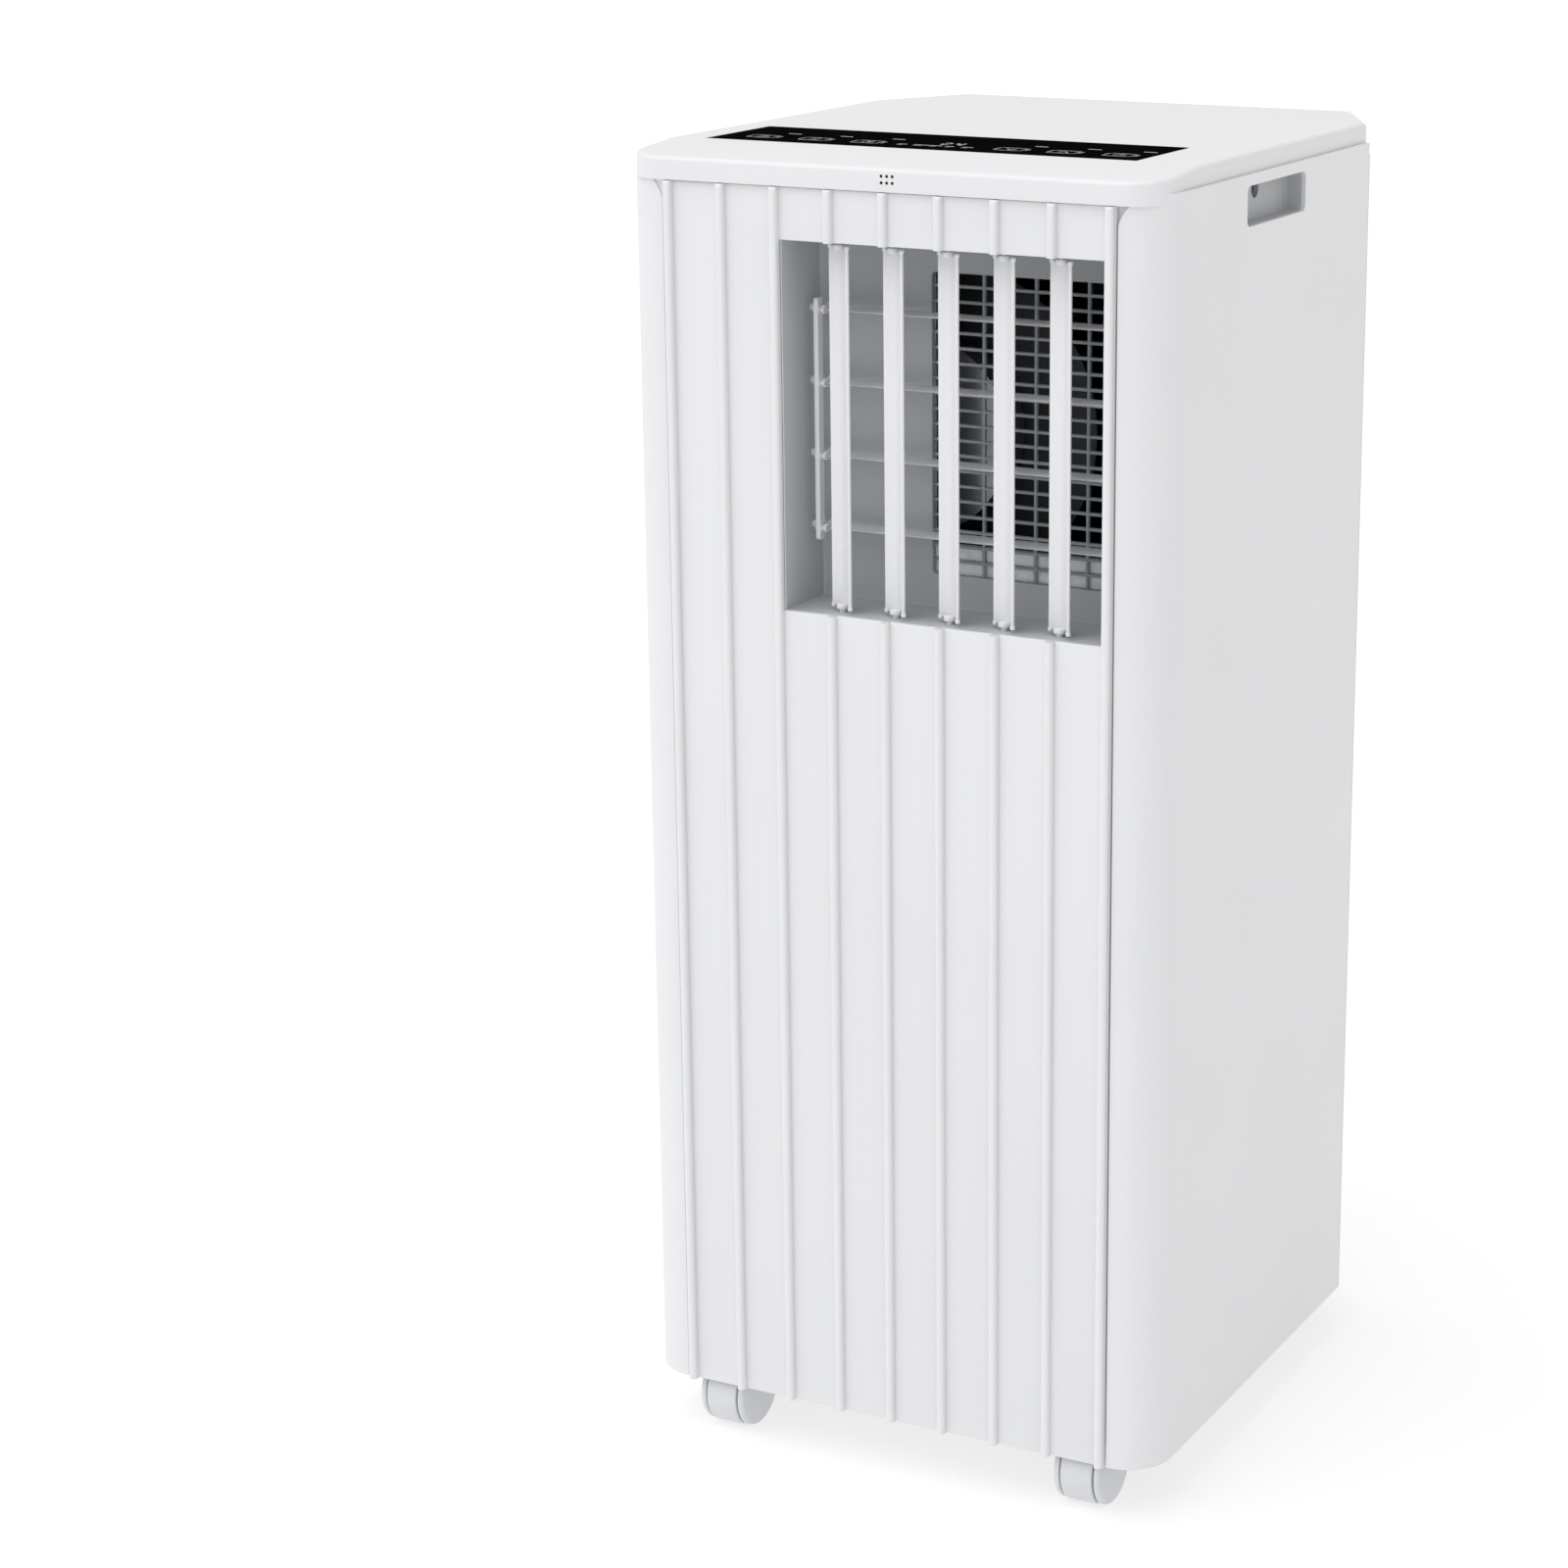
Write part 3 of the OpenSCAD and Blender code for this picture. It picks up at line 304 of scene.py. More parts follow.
def handle_cup(sign, name, node):
    bm = bmesh.new()
    mouth = HALF - WALL
    back = cup_low.x + CUP_WALL + SLOT_DEPTH
    low, high = HANDLE_LOW, HANDLE_HIGH

    def outline(x, inset):
        points = round_slot((low[0] + inset, low[1] + inset), (high[0] - inset, high[1] - inset),
                            HANDLE_ROUND - inset * 0.5)
        return [(x, y, z) for y, z in points]

    turns = [pi / 2 * k / 5 for k in range(6)]
    rim = tube(bm, [outline(mouth, 0)] + [
        outline(back + INNER_ROUND * (1 - sin(a)), INNER_ROUND * (1 - cos(a))) for a in turns])
    slot_y, slot_z = low[0] + SLOT_OFFSET, high[1] - SLOT_DROP
    slot_top = high[1] - INNER_ROUND - 0.2 * MM
    angles = [-pi * k / 16 for k in range(17)]
    slot = [(slot_y + SLOT_RADIUS * cos(a), slot_z + SLOT_RADIUS * sin(a)) for a in angles]
    slot += [(slot_y - SLOT_RADIUS, slot_top), (slot_y + SLOT_RADIUS, slot_top)]
    slot_edge = ring_of(bm, [(back, y, z) for y, z in slot])
    bmesh.ops.triangle_fill(bm, edges=rim + slot_edge, use_beauty=True)
    made = bmesh.ops.extrude_edge_only(bm, edges=slot_edge)["geom"]
    shift(bm, made, (-SLOT_DEPTH, 0, 0))
    bmesh.ops.holes_fill(bm, edges=open_edges(made))
    bmesh.ops.scale(bm, vec=(sign, 1, 1), verts=bm.verts)
    place(bm, name, CUP_GREY, "cabinet", "pale_plastic", [node], wall=-0.8 * MM, sharp=50)
    # The slot's floor: a near-black sheet, painted shade in the slot.
    bm = bmesh.new()
    shade_sheet_x = back - SLOT_DEPTH + 0.1 * MM
    flat_prism(bm, [(shade_sheet_x, y, z) for y, z in slot], (SHADE_SHEET_THICK, 0, 0))
    bmesh.ops.scale(bm, vec=(sign, 1, 1), verts=bm.verts)
    place(bm, name + "_slot_shade_sheet", SLOT_PAINTED_SHADE, "cabinet", "pale_plastic")


handle_cup(1, "right_cup", "right_handle_cup")
handle_cup(-1, "left_cup", "left_handle_cup")

# ---- Front panel ----
# A flat ABS front between the two seams with nine half-round ribs moulded on it, cut away at
# the air outlet. Behind the side panels' round top corners it wraps back under the lid.

panel_low, panel_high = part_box("front_panel")
duct_low, duct_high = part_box("outlet_duct")
lid_low, lid_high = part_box("top_cover")
DUCT_WALL = 2 * MM
RIB_WIDTH = 4.6 * MM
RIBS = 9
CREST = panel_low.y
PANEL_TOP = panel_high.z
OUTLET_LOW = (duct_low.x + DUCT_WALL, duct_low.z + DUCT_WALL)
OUTLET_HIGH = (duct_high.x - DUCT_WALL, duct_high.z - DUCT_WALL)
LAST_RIB = OUTLET_HIGH[0] + RIB_WIDTH / 2
RIB_PITCH = 2 * LAST_RIB / (RIBS - 1)
RIB_ROUND = 2.1 * MM
STRIP_LAP = 8 * MM
SLIVER = 1e-6


def rib_x(i):
    return -LAST_RIB + i * RIB_PITCH


def rib(bm, x, bottom, top, rounded_top):
    made = block(bm, (x - RIB_WIDTH / 2, CREST, bottom), (x + RIB_WIDTH / 2, FACE + 1 * MM, top))
    crest = edges_of(made, lambda a, b: a.y < FACE and b.y < FACE and (
        abs(a.z - b.z) > RIB_WIDTH or (rounded_top and min(a.z, b.z) > top - MM)))
    soften(bm, crest, RIB_ROUND, steps=7)


bm = bmesh.new()
half_front = SEAM - GAP
outer = ring_of(bm, [(x, FACE, z) for x, z in [
    (-half_front, GROUND), (half_front, GROUND), (half_front, PANEL_TOP), (-half_front, PANEL_TOP)]])
inner = ring_of(bm, [(x, FACE, z) for x, z in [
    (OUTLET_LOW[0], OUTLET_LOW[1]), (OUTLET_HIGH[0], OUTLET_LOW[1]),
    (OUTLET_HIGH[0], OUTLET_HIGH[1]), (OUTLET_LOW[0], OUTLET_HIGH[1])]])
bmesh.ops.triangle_fill(bm, edges=outer + inner, use_beauty=True)
shift(bm, bmesh.ops.extrude_face_region(bm, geom=bm.faces[:])["geom"], (0, WALL, 0))
rims = edges_of(set(bm.verts), lambda a, b: a.y < FACE + SLIVER and b.y < FACE + SLIVER and (
    abs(a.x - b.x) < SLIVER or abs(a.z - b.z) < SLIVER))
soften(bm, rims, 0.5 * MM, steps=2)
for i in range(RIBS):
    if 2 < i < RIBS - 1:
        rib(bm, rib_x(i), GROUND, OUTLET_LOW[1], False)
        rib(bm, rib_x(i), OUTLET_HIGH[1], PANEL_TOP, True)
    else:
        rib(bm, rib_x(i), GROUND, PANEL_TOP, True)
for sign in (1, -1):
    corner = bmesh.new()
    strip_foot = SIDE_TOP - TOP_CORNER - STRIP_LAP
    strip = [corner.verts.new((sign * p.x, p.y, strip_foot))
             for p in corner_path(half_front - MM, inset=WALL + GAP)]
    line = [corner.edges.new(pair) for pair in zip(strip, strip[1:])]
    made = bmesh.ops.extrude_edge_only(corner, edges=line)["geom"]
    shift(corner, made, (0, 0, PANEL_TOP - strip_foot))
    bmesh.ops.solidify(corner, geom=corner.faces[:], thickness=WALL * 0.8)
    spare = bpy.data.meshes.new("corner_strip")
    corner.to_mesh(spare)
    corner.free()
    bm.from_mesh(spare)
    bpy.data.meshes.remove(spare)
place(bm, "ribbed_front", SHELL_WHITE, "cabinet", "white_shell", ["front_panel"])

# ---- Lid ----
# One white ABS moulding with a soft top edge. Its front strip falls towards a small lip, and a
# pocket in it takes the touch glass. Six black discs on the front, painted shade, stand for the room sensor's
# pinholes.

LID_FRONT, LID_BACK = lid_low.y, lid_high.y
LID_SIDE = lid_high.x
LID_BOTTOM, LID_TOP = lid_low.z, lid_high.z
glass_low, glass_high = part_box("control_glass")
SLOPE_END = glass_low.y - 3 * MM
SLOPE_DROP = 4 * MM
REAR_CUT = (30 * MM, 58 * MM)
LID_CORNER = 22 * MM
LID_SOFT = 3 * MM
POCKET_DEPTH = 2.2 * MM
POCKET_GAP = 0.25 * MM


def lid_outline():
    cut_x, cut_y = LID_SIDE - REAR_CUT[0], LID_BACK - REAR_CUT[1]
    return [(-LID_SIDE, LID_FRONT), (LID_SIDE, LID_FRONT), (LID_SIDE, cut_y), (cut_x, LID_BACK),
            (-cut_x, LID_BACK), (-LID_SIDE, cut_y)]


bm = bmesh.new()
flat_prism(bm, [(x, y, LID_BOTTOM) for x, y in lid_outline()], (0, 0, LID_TOP - LID_BOTTOM))
soften(bm, edges_of(set(bm.verts), lambda a, b: abs(a.z - b.z) > MM and a.y < 0), LID_CORNER, steps=12)
soften(bm, edges_of(set(bm.verts), lambda a, b: abs(a.z - b.z) > MM and a.y > 0), LID_SOFT, steps=4)
soften(bm, edges_of(set(bm.verts), lambda a, b: min(a.z, b.z) > LID_TOP - SLIVER), LID_SOFT, steps=6)
bmesh.ops.bisect_plane(bm, geom=bm.verts[:] + bm.edges[:] + bm.faces[:], plane_co=(0, SLOPE_END, 0),
                       plane_no=(0, 1, 0))
bmesh.ops.recalc_face_normals(bm, faces=bm.faces)
for v in bm.verts:
    if v.co.y < SLOPE_END and v.co.z > LID_BOTTOM + MM:
        fall = (SLOPE_END - v.co.y) / (SLOPE_END - LID_FRONT)
        v.co.z -= fall * SLOPE_DROP * (v.co.z - LID_BOTTOM) / (LID_TOP - LID_BOTTOM)
flat_top = max((f for f in bm.faces if f.normal.z > 0.99 and f.calc_center_median().z > LID_TOP - 0.1 * MM),
               key=lambda f: f.calc_area())
bmesh.ops.delete(bm, geom=[flat_top], context="FACES_ONLY")
pocket_left, pocket_right = glass_low.x - POCKET_GAP, glass_high.x + POCKET_GAP
pocket_front, pocket_back = glass_low.y - POCKET_GAP, glass_high.y + POCKET_GAP
hole = ring_of(bm, [(pocket_left, pocket_front, LID_TOP), (pocket_right, pocket_front, LID_TOP),
                    (pocket_right, pocket_back, LID_TOP), (pocket_left, pocket_back, LID_TOP)])
bmesh.ops.triangle_fill(bm, edges=open_edges(bm.edges) + hole, use_beauty=True)
walls = bmesh.ops.extrude_edge_only(bm, edges=hole)["geom"]
shift(bm, walls, (0, 0, -POCKET_DEPTH))
bmesh.ops.holes_fill(bm, edges=open_edges(walls))
place(bm, "lid", SHELL_WHITE, "cabinet", "white_shell", ["top_cover"], sharp=30)

# Painted shade: flat black discs on the lid's front stand for the sensor's pinholes, which are not cut.
PINHOLE_SHADE = moulded("pinhole_painted_shade", (0.01, 0.01, 0.01), roughness=0.8)
PINHOLE = 0.8 * MM
bm = bmesh.new()
for i in range(-1, 2):
    for j in range(2):
        x, z = (3 + 3 * i) * MM, LID_BOTTOM + (4.5 + 3.2 * j) * MM
        spot = Matrix.Translation((x, LID_FRONT + 0.47 * MM, z))
        bmesh.ops.create_cone(bm, cap_ends=True, segments=16, radius1=PINHOLE, radius2=PINHOLE, depth=1 * MM,
                              matrix=spot @ Matrix.Rotation(pi / 2, 4, "X"))
place(bm, "sensor_pinhole_shade", PINHOLE_SHADE, "cabinet", "white_shell")

# ---- Touch glass ----
# A black printed glass strip, flush in the lid. Six touch keys and a two-digit display are
# printed from behind in white, with a small lamp bar above each key.


def polished(name, colour, roughness, specular):
    """A smooth material with faint handling smears and a set strength of reflection."""
    material = moulded(name, colour, tone=0.1, mottle=30, roughness=roughness, spread=0.06, depth=0.0)
    material.node_tree.nodes["Principled BSDF"].inputs["Specular IOR Level"].default_value = specular
    return material


GLASS_BLACK = polished("glass_black", (0.003, 0.003, 0.0035), 0.16, 0.0)
PRINT_WHITE = polished("print_white", (0.6, 0.62, 0.65), 0.35, 0.3)

bm = bmesh.new()
slab = block(bm, glass_low, glass_high)
soften(bm, edges_of(slab, lambda a, b: abs(a.z - b.z) > MM), 1.5 * MM, steps=4)
soften(bm, [e for e in bm.edges if all(v.co.z > glass_high.z - 1e-6 for v in e.verts)], 0.3 * MM, steps=2)
place(bm, "touch_strip", GLASS_BLACK, "cabinet", "touch_glass", ["control_glass"])

PRINT_RISE = 0.06 * MM
PRINT_Z = glass_high.z + PRINT_RISE / 2
STROKE = 0.8 * MM
FINE_STROKE = 0.5 * MM
glass_mid_x = (glass_low.x + glass_high.x) / 2
key_y = glass_low.y + 20 * MM
lamp_y = key_y + 17 * MM


def stroke(bm, start, end, width=STROKE):
    """A straight printed line between two points of the glass."""
    start, end = Vector((*start, PRINT_Z)), Vector((*end, PRINT_Z))
    made = bmesh.ops.create_cube(bm, size=1.0)["verts"]
    bmesh.ops.scale(bm, vec=((end - start).length + width, width, PRINT_RISE), verts=made)
    turn = (end - start).to_track_quat("X", "Z").to_matrix()
    bmesh.ops.rotate(bm, cent=(0, 0, 0), matrix=turn, verts=made)
    bmesh.ops.translate(bm, vec=(start + end) / 2, verts=made)


def arc(bm, centre, radius, first=0, last=360, width=STROKE, steps=20):
    """A printed arc or ring."""
    points = [(centre[0] + radius * cos(radians(a)), centre[1] + radius * sin(radians(a)))
              for a in (first + (last - first) * k / steps for k in range(steps + 1))]
    for a, b in zip(points, points[1:]):
        stroke(bm, a, b, width)


def frame_mark(bm, x, y, w, h):
    """A key's rounded outline."""
    corners = round_slot((-w / 2, -h / 2), (w / 2, h / 2), 1.5 * MM, steps=3)
    points = [(x + across, y + up) for across, up in corners]
    for a, b in zip(points, points[1:] + points[:1]):
        stroke(bm, a, b, FINE_STROKE)


def fan_mark(bm, x, y):
    for a in (radians(90 + 120 * k) for k in range(3)):
        arc(bm, (x + 2 * MM * cos(a), y + 2 * MM * sin(a)), 1.5 * MM, steps=10)


def moon_mark(bm, x, y):
    arc(bm, (x, y), 3 * MM, 60, 300)
    arc(bm, (x + 1.6 * MM, y), 2.6 * MM, 85, 275)


def clock_mark(bm, x, y):
    arc(bm, (x, y), 3 * MM)
    stroke(bm, (x, y), (x, y + 2 * MM))
    stroke(bm, (x, y), (x + 1.5 * MM, y))


def arrow_mark(bm, x, y, way):
    for side in (-1, 1):
        stroke(bm, (x + side * 2.4 * MM, y - way * 1.4 * MM), (x, y + way * 1.6 * MM))


def power_mark(bm, x, y):
    arc(bm, (x, y), 3 * MM, 120, 420)
    stroke(bm, (x, y + 1.2 * MM), (x, y + 3.6 * MM))


def digit(bm, x, y, lit):
    """A seven-segment digit; lit names its segments a to g."""
    w, h = 3.4 * MM, 4 * MM
    ends = {
        "a": ((0, 2 * h), (w, 2 * h)), "b": ((w, h), (w, 2 * h)), "c": ((w, 0), (w, h)),
        "d": ((0, 0), (w, 0)), "e": ((0, 0), (0, h)), "f": ((0, h), (0, 2 * h)), "g": ((0, h), (w, h)),
    }
    for key in lit:
        (ax, ay), (bx, by) = ends[key]
        stroke(bm, (x + ax, y + ay), (x + bx, y + by), 0.9 * MM)


bm = bmesh.new()
keys = [
    (-97, fan_mark), (-67, moon_mark), (-37, clock_mark),
    (43, lambda bm, x, y: arrow_mark(bm, x, y, -1)), (72, lambda bm, x, y: arrow_mark(bm, x, y, 1)),
    (102, power_mark),
]
for offset, mark in keys:
    x = glass_mid_x + offset * MM
    frame_mark(bm, x, key_y, 15 * MM, 11 * MM)
    mark(bm, x, key_y)
    stroke(bm, (x + 9.5 * MM, key_y - 3 * MM), (x + 9.5 * MM, key_y + 3 * MM), FINE_STROKE)
    stroke(bm, (x + 6 * MM, lamp_y), (x + 12 * MM, lamp_y), 1.1 * MM)
for k, width in enumerate((5, 9, 7, 4, 6)):
    x = glass_mid_x + (-18 + 9 * k) * MM
    stroke(bm, (x, key_y - 2 * MM), (x + width * 0.8 * MM, key_y - 2 * MM), 1.0 * MM)
    stroke(bm, (x, key_y - 4.6 * MM), (x + width * 0.5 * MM, key_y - 4.6 * MM), 0.6 * MM)
digit(bm, glass_mid_x + 2 * MM, key_y + 4 * MM, "abged")
digit(bm, glass_mid_x + 9 * MM, key_y + 4 * MM, "fgbc")
place(bm, "touch_print", PRINT_WHITE, "cabinet", "touch_glass", weld=False)

# ---- Outlet duct and grille ----
# A pale grey moulded recess behind the front panel's opening, with softened inner corners. The
# grille is a thin grey moulding of fine level bars and a few upright ones, clipped into its window.

DUCT_GREY = moulded("duct_grey", (0.5, 0.515, 0.53), tone=0.05, roughness=0.5)
GRILLE_GREY = moulded("grille_grey", (0.34, 0.38, 0.41), tone=0.1, roughness=0.55)
grille_low, grille_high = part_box("outlet_grille")
GRILLE_RIM = 3 * MM
vent_low = (grille_low.x + GRILLE_RIM, grille_low.z + GRILLE_RIM)
vent_high = (grille_high.x - GRILLE_RIM, grille_high.z - GRILLE_RIM)

bm = bmesh.new()
mouth_y, rear_y = duct_low.y + 0.2 * MM, duct_high.y - DUCT_WALL
mouth = ring_of(bm, [(x, mouth_y, z) for x, z in [
    OUTLET_LOW, (OUTLET_HIGH[0], OUTLET_LOW[1]), OUTLET_HIGH, (OUTLET_LOW[0], OUTLET_HIGH[1])]])
made = bmesh.ops.extrude_edge_only(bm, edges=mouth)["geom"]
shift(bm, made, (0, rear_y - mouth_y, 0))
rear = new_verts(made)
rear_rim = [e for e in made if isinstance(e, bmesh.types.BMEdge) and all(v in rear for v in e.verts)]
window = ring_of(bm, [(x, rear_y, z) for x, z in round_slot(vent_low, vent_high, 2 * MM, steps=4)])
bmesh.ops.triangle_fill(bm, edges=rear_rim + window, use_beauty=True)
soften(bm, rear_rim, 1.5 * MM, steps=4)
place(bm, "outlet_recess", DUCT_GREY, "cabinet", "pale_plastic", ["outlet_duct"], wall=-DUCT_WALL * 0.9,
      sharp=50)

bm = bmesh.new()
BAR = 1.6 * MM
BAR_SOFT = 0.5 * MM
LEVEL_BARS, UPRIGHT_BARS = 20, 4
COLUMN = 28.6 * MM
row = (vent_high[1] - vent_low[1] + BAR) / LEVEL_BARS
rim_parts = [
    ((grille_low.x, grille_low.z), (vent_low[0], grille_high.z)),
    ((vent_high[0], grille_low.z), (grille_high.x, grille_high.z)),
    ((vent_low[0], grille_low.z), (vent_high[0], vent_low[1])),
    ((vent_low[0], vent_high[1]), (vent_high[0], grille_high.z)),
]
for low, high in rim_parts:
    block(bm, (low[0], grille_low.y, low[1]), (high[0], grille_high.y, high[1]))
for i in range(1, LEVEL_BARS):
    z = vent_low[1] + i * row - BAR
    bar = block(bm, (vent_low[0], grille_low.y, z), (vent_high[0], grille_high.y, z + BAR))
    front = edges_of(bar, lambda a, b: abs(a.x - b.x) > BAR and a.y < grille_low.y + SLIVER)
    soften(bm, front, BAR_SOFT, steps=2)
for i in range(1, UPRIGHT_BARS):
    x = vent_low[0] + i * COLUMN - BAR
    bar = block(bm, (x, grille_low.y - 0.1 * MM, vent_low[1]), (x + BAR, grille_high.y, vent_high[1]))
    front = edges_of(bar, lambda a, b: abs(a.z - b.z) > BAR and a.y < grille_low.y + SLIVER)
    soften(bm, front, BAR_SOFT, steps=2)
place(bm, "grille_bars", GRILLE_GREY, "cabinet", "grille_grey", ["outlet_grille"], weld=False)

# ---- Upright louvres ----
# Five white ABS blades with a curved section, turned aside at rest. Each has a collar and two
# small beads at both ends, pivot pins, and a crank under the recess, where a grey tie bar joins
# the cranks.

BLADE_WHITE = moulded("blade_white", (0.76, 0.765, 0.775), tone=0.03, roughness=0.32, coat=0.2)
LINK_GREY = moulded("link_grey", (0.35, 0.36, 0.37), tone=0.08, roughness=0.5)
PIN = 1.5 * MM
CRANK_PIN = 1.2 * MM
CRANK_ARM = 8 * MM
CRANK_SOFT = 0.4 * MM
CRANK_THICK = 2 * MM
LOUVRE_SET = radians(62)
CAMBER = 3 * MM
LOUVRE_LEAD = 1 * MM
LOUVRE_CHORD = 14.6 * MM
LOUVRE_THICK = 1.8 * MM
LOUVRE_GAP = 3 * MM
COLLAR = 3.1 * MM
BEAD, BEAD_HALF = 1.3 * MM, 1.1 * MM
PIVOT_Y = FACE + 10.5 * MM


def rod(bm, start, end, radius, sides=24, far_radius=None):
    """A round bar between two points."""
    start, end = Vector(start), Vector(end)
    axis = end - start
    turn = axis.to_track_quat("Z", "Y").to_matrix().to_4x4()
    return bmesh.ops.create_cone(
        bm, cap_ends=True, cap_tris=False, segments=sides, radius1=radius,
        radius2=radius if far_radius is None else far_radius, depth=axis.length,
        matrix=Matrix.Translation((start + end) / 2) @ turn)["verts"]


def curved_section(steps=14):
    """Corner points of a curved blade with round edges, its chord along Y, about its pivot."""
    bend = (LOUVRE_CHORD ** 2 / 4 + CAMBER ** 2) / (2 * CAMBER)
    spread = asin(LOUVRE_CHORD / 2 / bend)
    centre = Vector((CAMBER - LOUVRE_LEAD - bend, -LOUVRE_LEAD))

    def at(radius, angle):
        return centre + radius * Vector((cos(angle), sin(angle)))

    half = LOUVRE_THICK / 2
    angles = [-spread + 2 * spread * k / steps for k in range(steps + 1)]
    points = [at(bend + half, a) for a in angles]
    for end, first in ((spread, spread), (-spread, -spread + pi)):
        tip = at(bend, end)
        turns = [first + pi * k / 6 for k in range(1, 6)]
        points += [tip + half * Vector((cos(a), sin(a))) for a in turns]
        if end > 0:
            points += [at(bend - half, a) for a in reversed(angles)]
    return points


def louvre(number):
    node = f"louvre_{number}"
    low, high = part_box(node)
    pivot = Vector((rib_x(2 + number), PIVOT_Y, 0))
    bottom, top = OUTLET_LOW[1] + LOUVRE_GAP, OUTLET_HIGH[1] - LOUVRE_GAP

    def level(a, b):
        return abs(a.z - b.z) < SLIVER

    bm = bmesh.new()
    turn = Matrix.Rotation(LOUVRE_SET, 3, "Z")
    outline = [pivot + turn @ Vector((p.x, p.y, 0)) + Vector((0, 0, bottom)) for p in curved_section()]
    flat_prism(bm, outline, (0, 0, top - bottom))
    soften(bm, edges_of(set(bm.verts), level), 0.35 * MM, steps=2)
    for z, way in ((bottom, -1), (top, 1)):
        disc = rod(bm, (pivot.x, pivot.y, z - way * 1.5 * MM), (pivot.x, pivot.y, z + way * 1.2 * MM),
                   COLLAR, 32)
        soften(bm, edges_of(disc, level), 0.5 * MM, steps=2)
        for end in (-1, 1):
            tip = pivot + turn @ Vector((-LOUVRE_LEAD, -LOUVRE_LEAD + end * LOUVRE_CHORD / 2, z))
            bead = rod(bm, tip - Vector((0, 0, BEAD_HALF)), tip + Vector((0, 0, BEAD_HALF)), BEAD, 20)
            soften(bm, edges_of(bead, level), 0.6 * MM, steps=2)
    crank_low = low.z + 4 * MM
    crank_high = crank_low + CRANK_THICK
    rod(bm, (pivot.x, pivot.y, crank_low), (pivot.x, pivot.y, bottom), PIN)
    rod(bm, (pivot.x, pivot.y, top), (pivot.x, pivot.y, high.z), PIN)
    arm_end = pivot.y + CRANK_ARM
    arm = block(bm, (pivot.x - 2 * MM, pivot.y, crank_low), (pivot.x + 2 * MM, arm_end, crank_high))
    soften(bm, edges_of(arm, lambda a, b: True), CRANK_SOFT, steps=2)
    rod(bm, (pivot.x, arm_end, low.z), (pivot.x, arm_end, crank_high), CRANK_PIN)
    place(bm, f"upright_louvre_{number}", BLADE_WHITE, node, "louvre_plastic", [node])


for number in range(1, 6):
    louvre(number)


def refinish(material, *nodes):
    """Gives CAD nodes a material, with their shape as it is."""
    for node in nodes:
        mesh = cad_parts[node].data
        mesh.materials.clear()
        mesh.materials.append(material)


refinish(LINK_GREY, "louvre_link")

# ---- Level vanes ----
# Four white ABS vanes behind the louvres on round end pins, each with a crank at its left end.
# An upright tie bar snaps on to the cranks, and a small geared motor tilts the lowest vane.

VANE_BACK = 7.5 * MM
VANE_THICK = 2.2 * MM
VANE_PIN = 2 * MM


def lens_blade(bm, length, chord, thickness, steps=28):
    """A blade with a lens-shaped section, from the middle of its end along X."""
    made = bmesh.ops.create_circle(bm, cap_ends=True, segments=steps, radius=0.5)["verts"]
    bmesh.ops.scale(bm, vec=(thickness, chord, 1), verts=made)
    grown = bmesh.ops.extrude_face_region(bm, geom=list({f for v in made for f in v.link_faces}))["geom"]
    shift(bm, grown, (0, 0, length))
    made += new_verts(grown)
    bmesh.ops.rotate(bm, cent=(0, 0, 0), matrix=Matrix.Rotation(pi / 2, 3, "Y"), verts=made)
    return made


def vane(number):
    node = f"vane_{number}"
    low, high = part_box(node)
    y = high.y - VANE_BACK
    z = (low.z + high.z) / 2
    left = OUTLET_LOW[0] + 13.5 * MM
    right = OUTLET_HIGH[0] - 4 * MM
    bm = bmesh.new()
    made = lens_blade(bm, right - left, 2 * VANE_BACK, VANE_THICK)
    bmesh.ops.translate(bm, vec=(left, y, z), verts=made)
    rod(bm, (low.x, y, z), (left + 4 * MM, y, z), VANE_PIN)
    rod(bm, (right - 4 * MM, y, z), (high.x, y, z), VANE_PIN)
    rod(bm, (left - 3.6 * MM, y, z), (left - 1.4 * MM, y, z), 3.2 * MM, 28)
    rod(bm, (right - 1 * MM, y, z), (right + 0.8 * MM, y, z), 3 * MM, 28)
    arm_end, arm_x = y - CRANK_ARM, left - 1.5 * MM
    arm = block(bm, (arm_x - CRANK_THICK, arm_end, z - 2 * MM), (arm_x, y, z + 2 * MM))
    soften(bm, edges_of(arm, lambda a, b: True), CRANK_SOFT, steps=2)
    rod(bm, (left - 7.5 * MM, arm_end, z), (arm_x, arm_end, z), CRANK_PIN)
    place(bm, f"level_vane_{number}", BLADE_WHITE, node, "louvre_plastic", [node])


for number in range(1, 5):
    vane(number)

link_low, link_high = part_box("vane_link")
bm = bmesh.new()
link = block(bm, link_low, link_high)
soften(bm, edges_of(link, lambda a, b: abs(a.x - b.x) > MM), 1.6 * MM, steps=4)
soften(bm, [e for e in bm.edges if e.calc_length() > 10 * MM], 0.4 * MM, steps=2)
pin_y = (link_low.y + link_high.y) / 2
for number in range(1, 5):
    low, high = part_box(f"vane_{number}")
    pin_z = (low.z + high.z) / 2
    rod(bm, (link_low.x - 0.5 * MM, pin_y, pin_z), (link_high.x + 0.5 * MM, pin_y, pin_z), 2.1 * MM, 24)
place(bm, "vane_tie_bar", BLADE_WHITE, "vane_link", "louvre_plastic", ["vane_link"])

# ---- Rear panel ----
# A white ABS back with slanted sides, two filter windows, the hose collar's hole between them,
# and holes for the drains, the cord gland and six screws. It hooks under the lid.

rear_low, rear_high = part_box("rear_panel")
BACK = rear_high.y
FILTER_GAP = 0.5 * MM
HOSE_RADIUS = 72.5 * MM
COLLAR_WALL = 3 * MM
DRAIN_HOLE = 12 * MM
GLAND_HOLE = 9 * MM


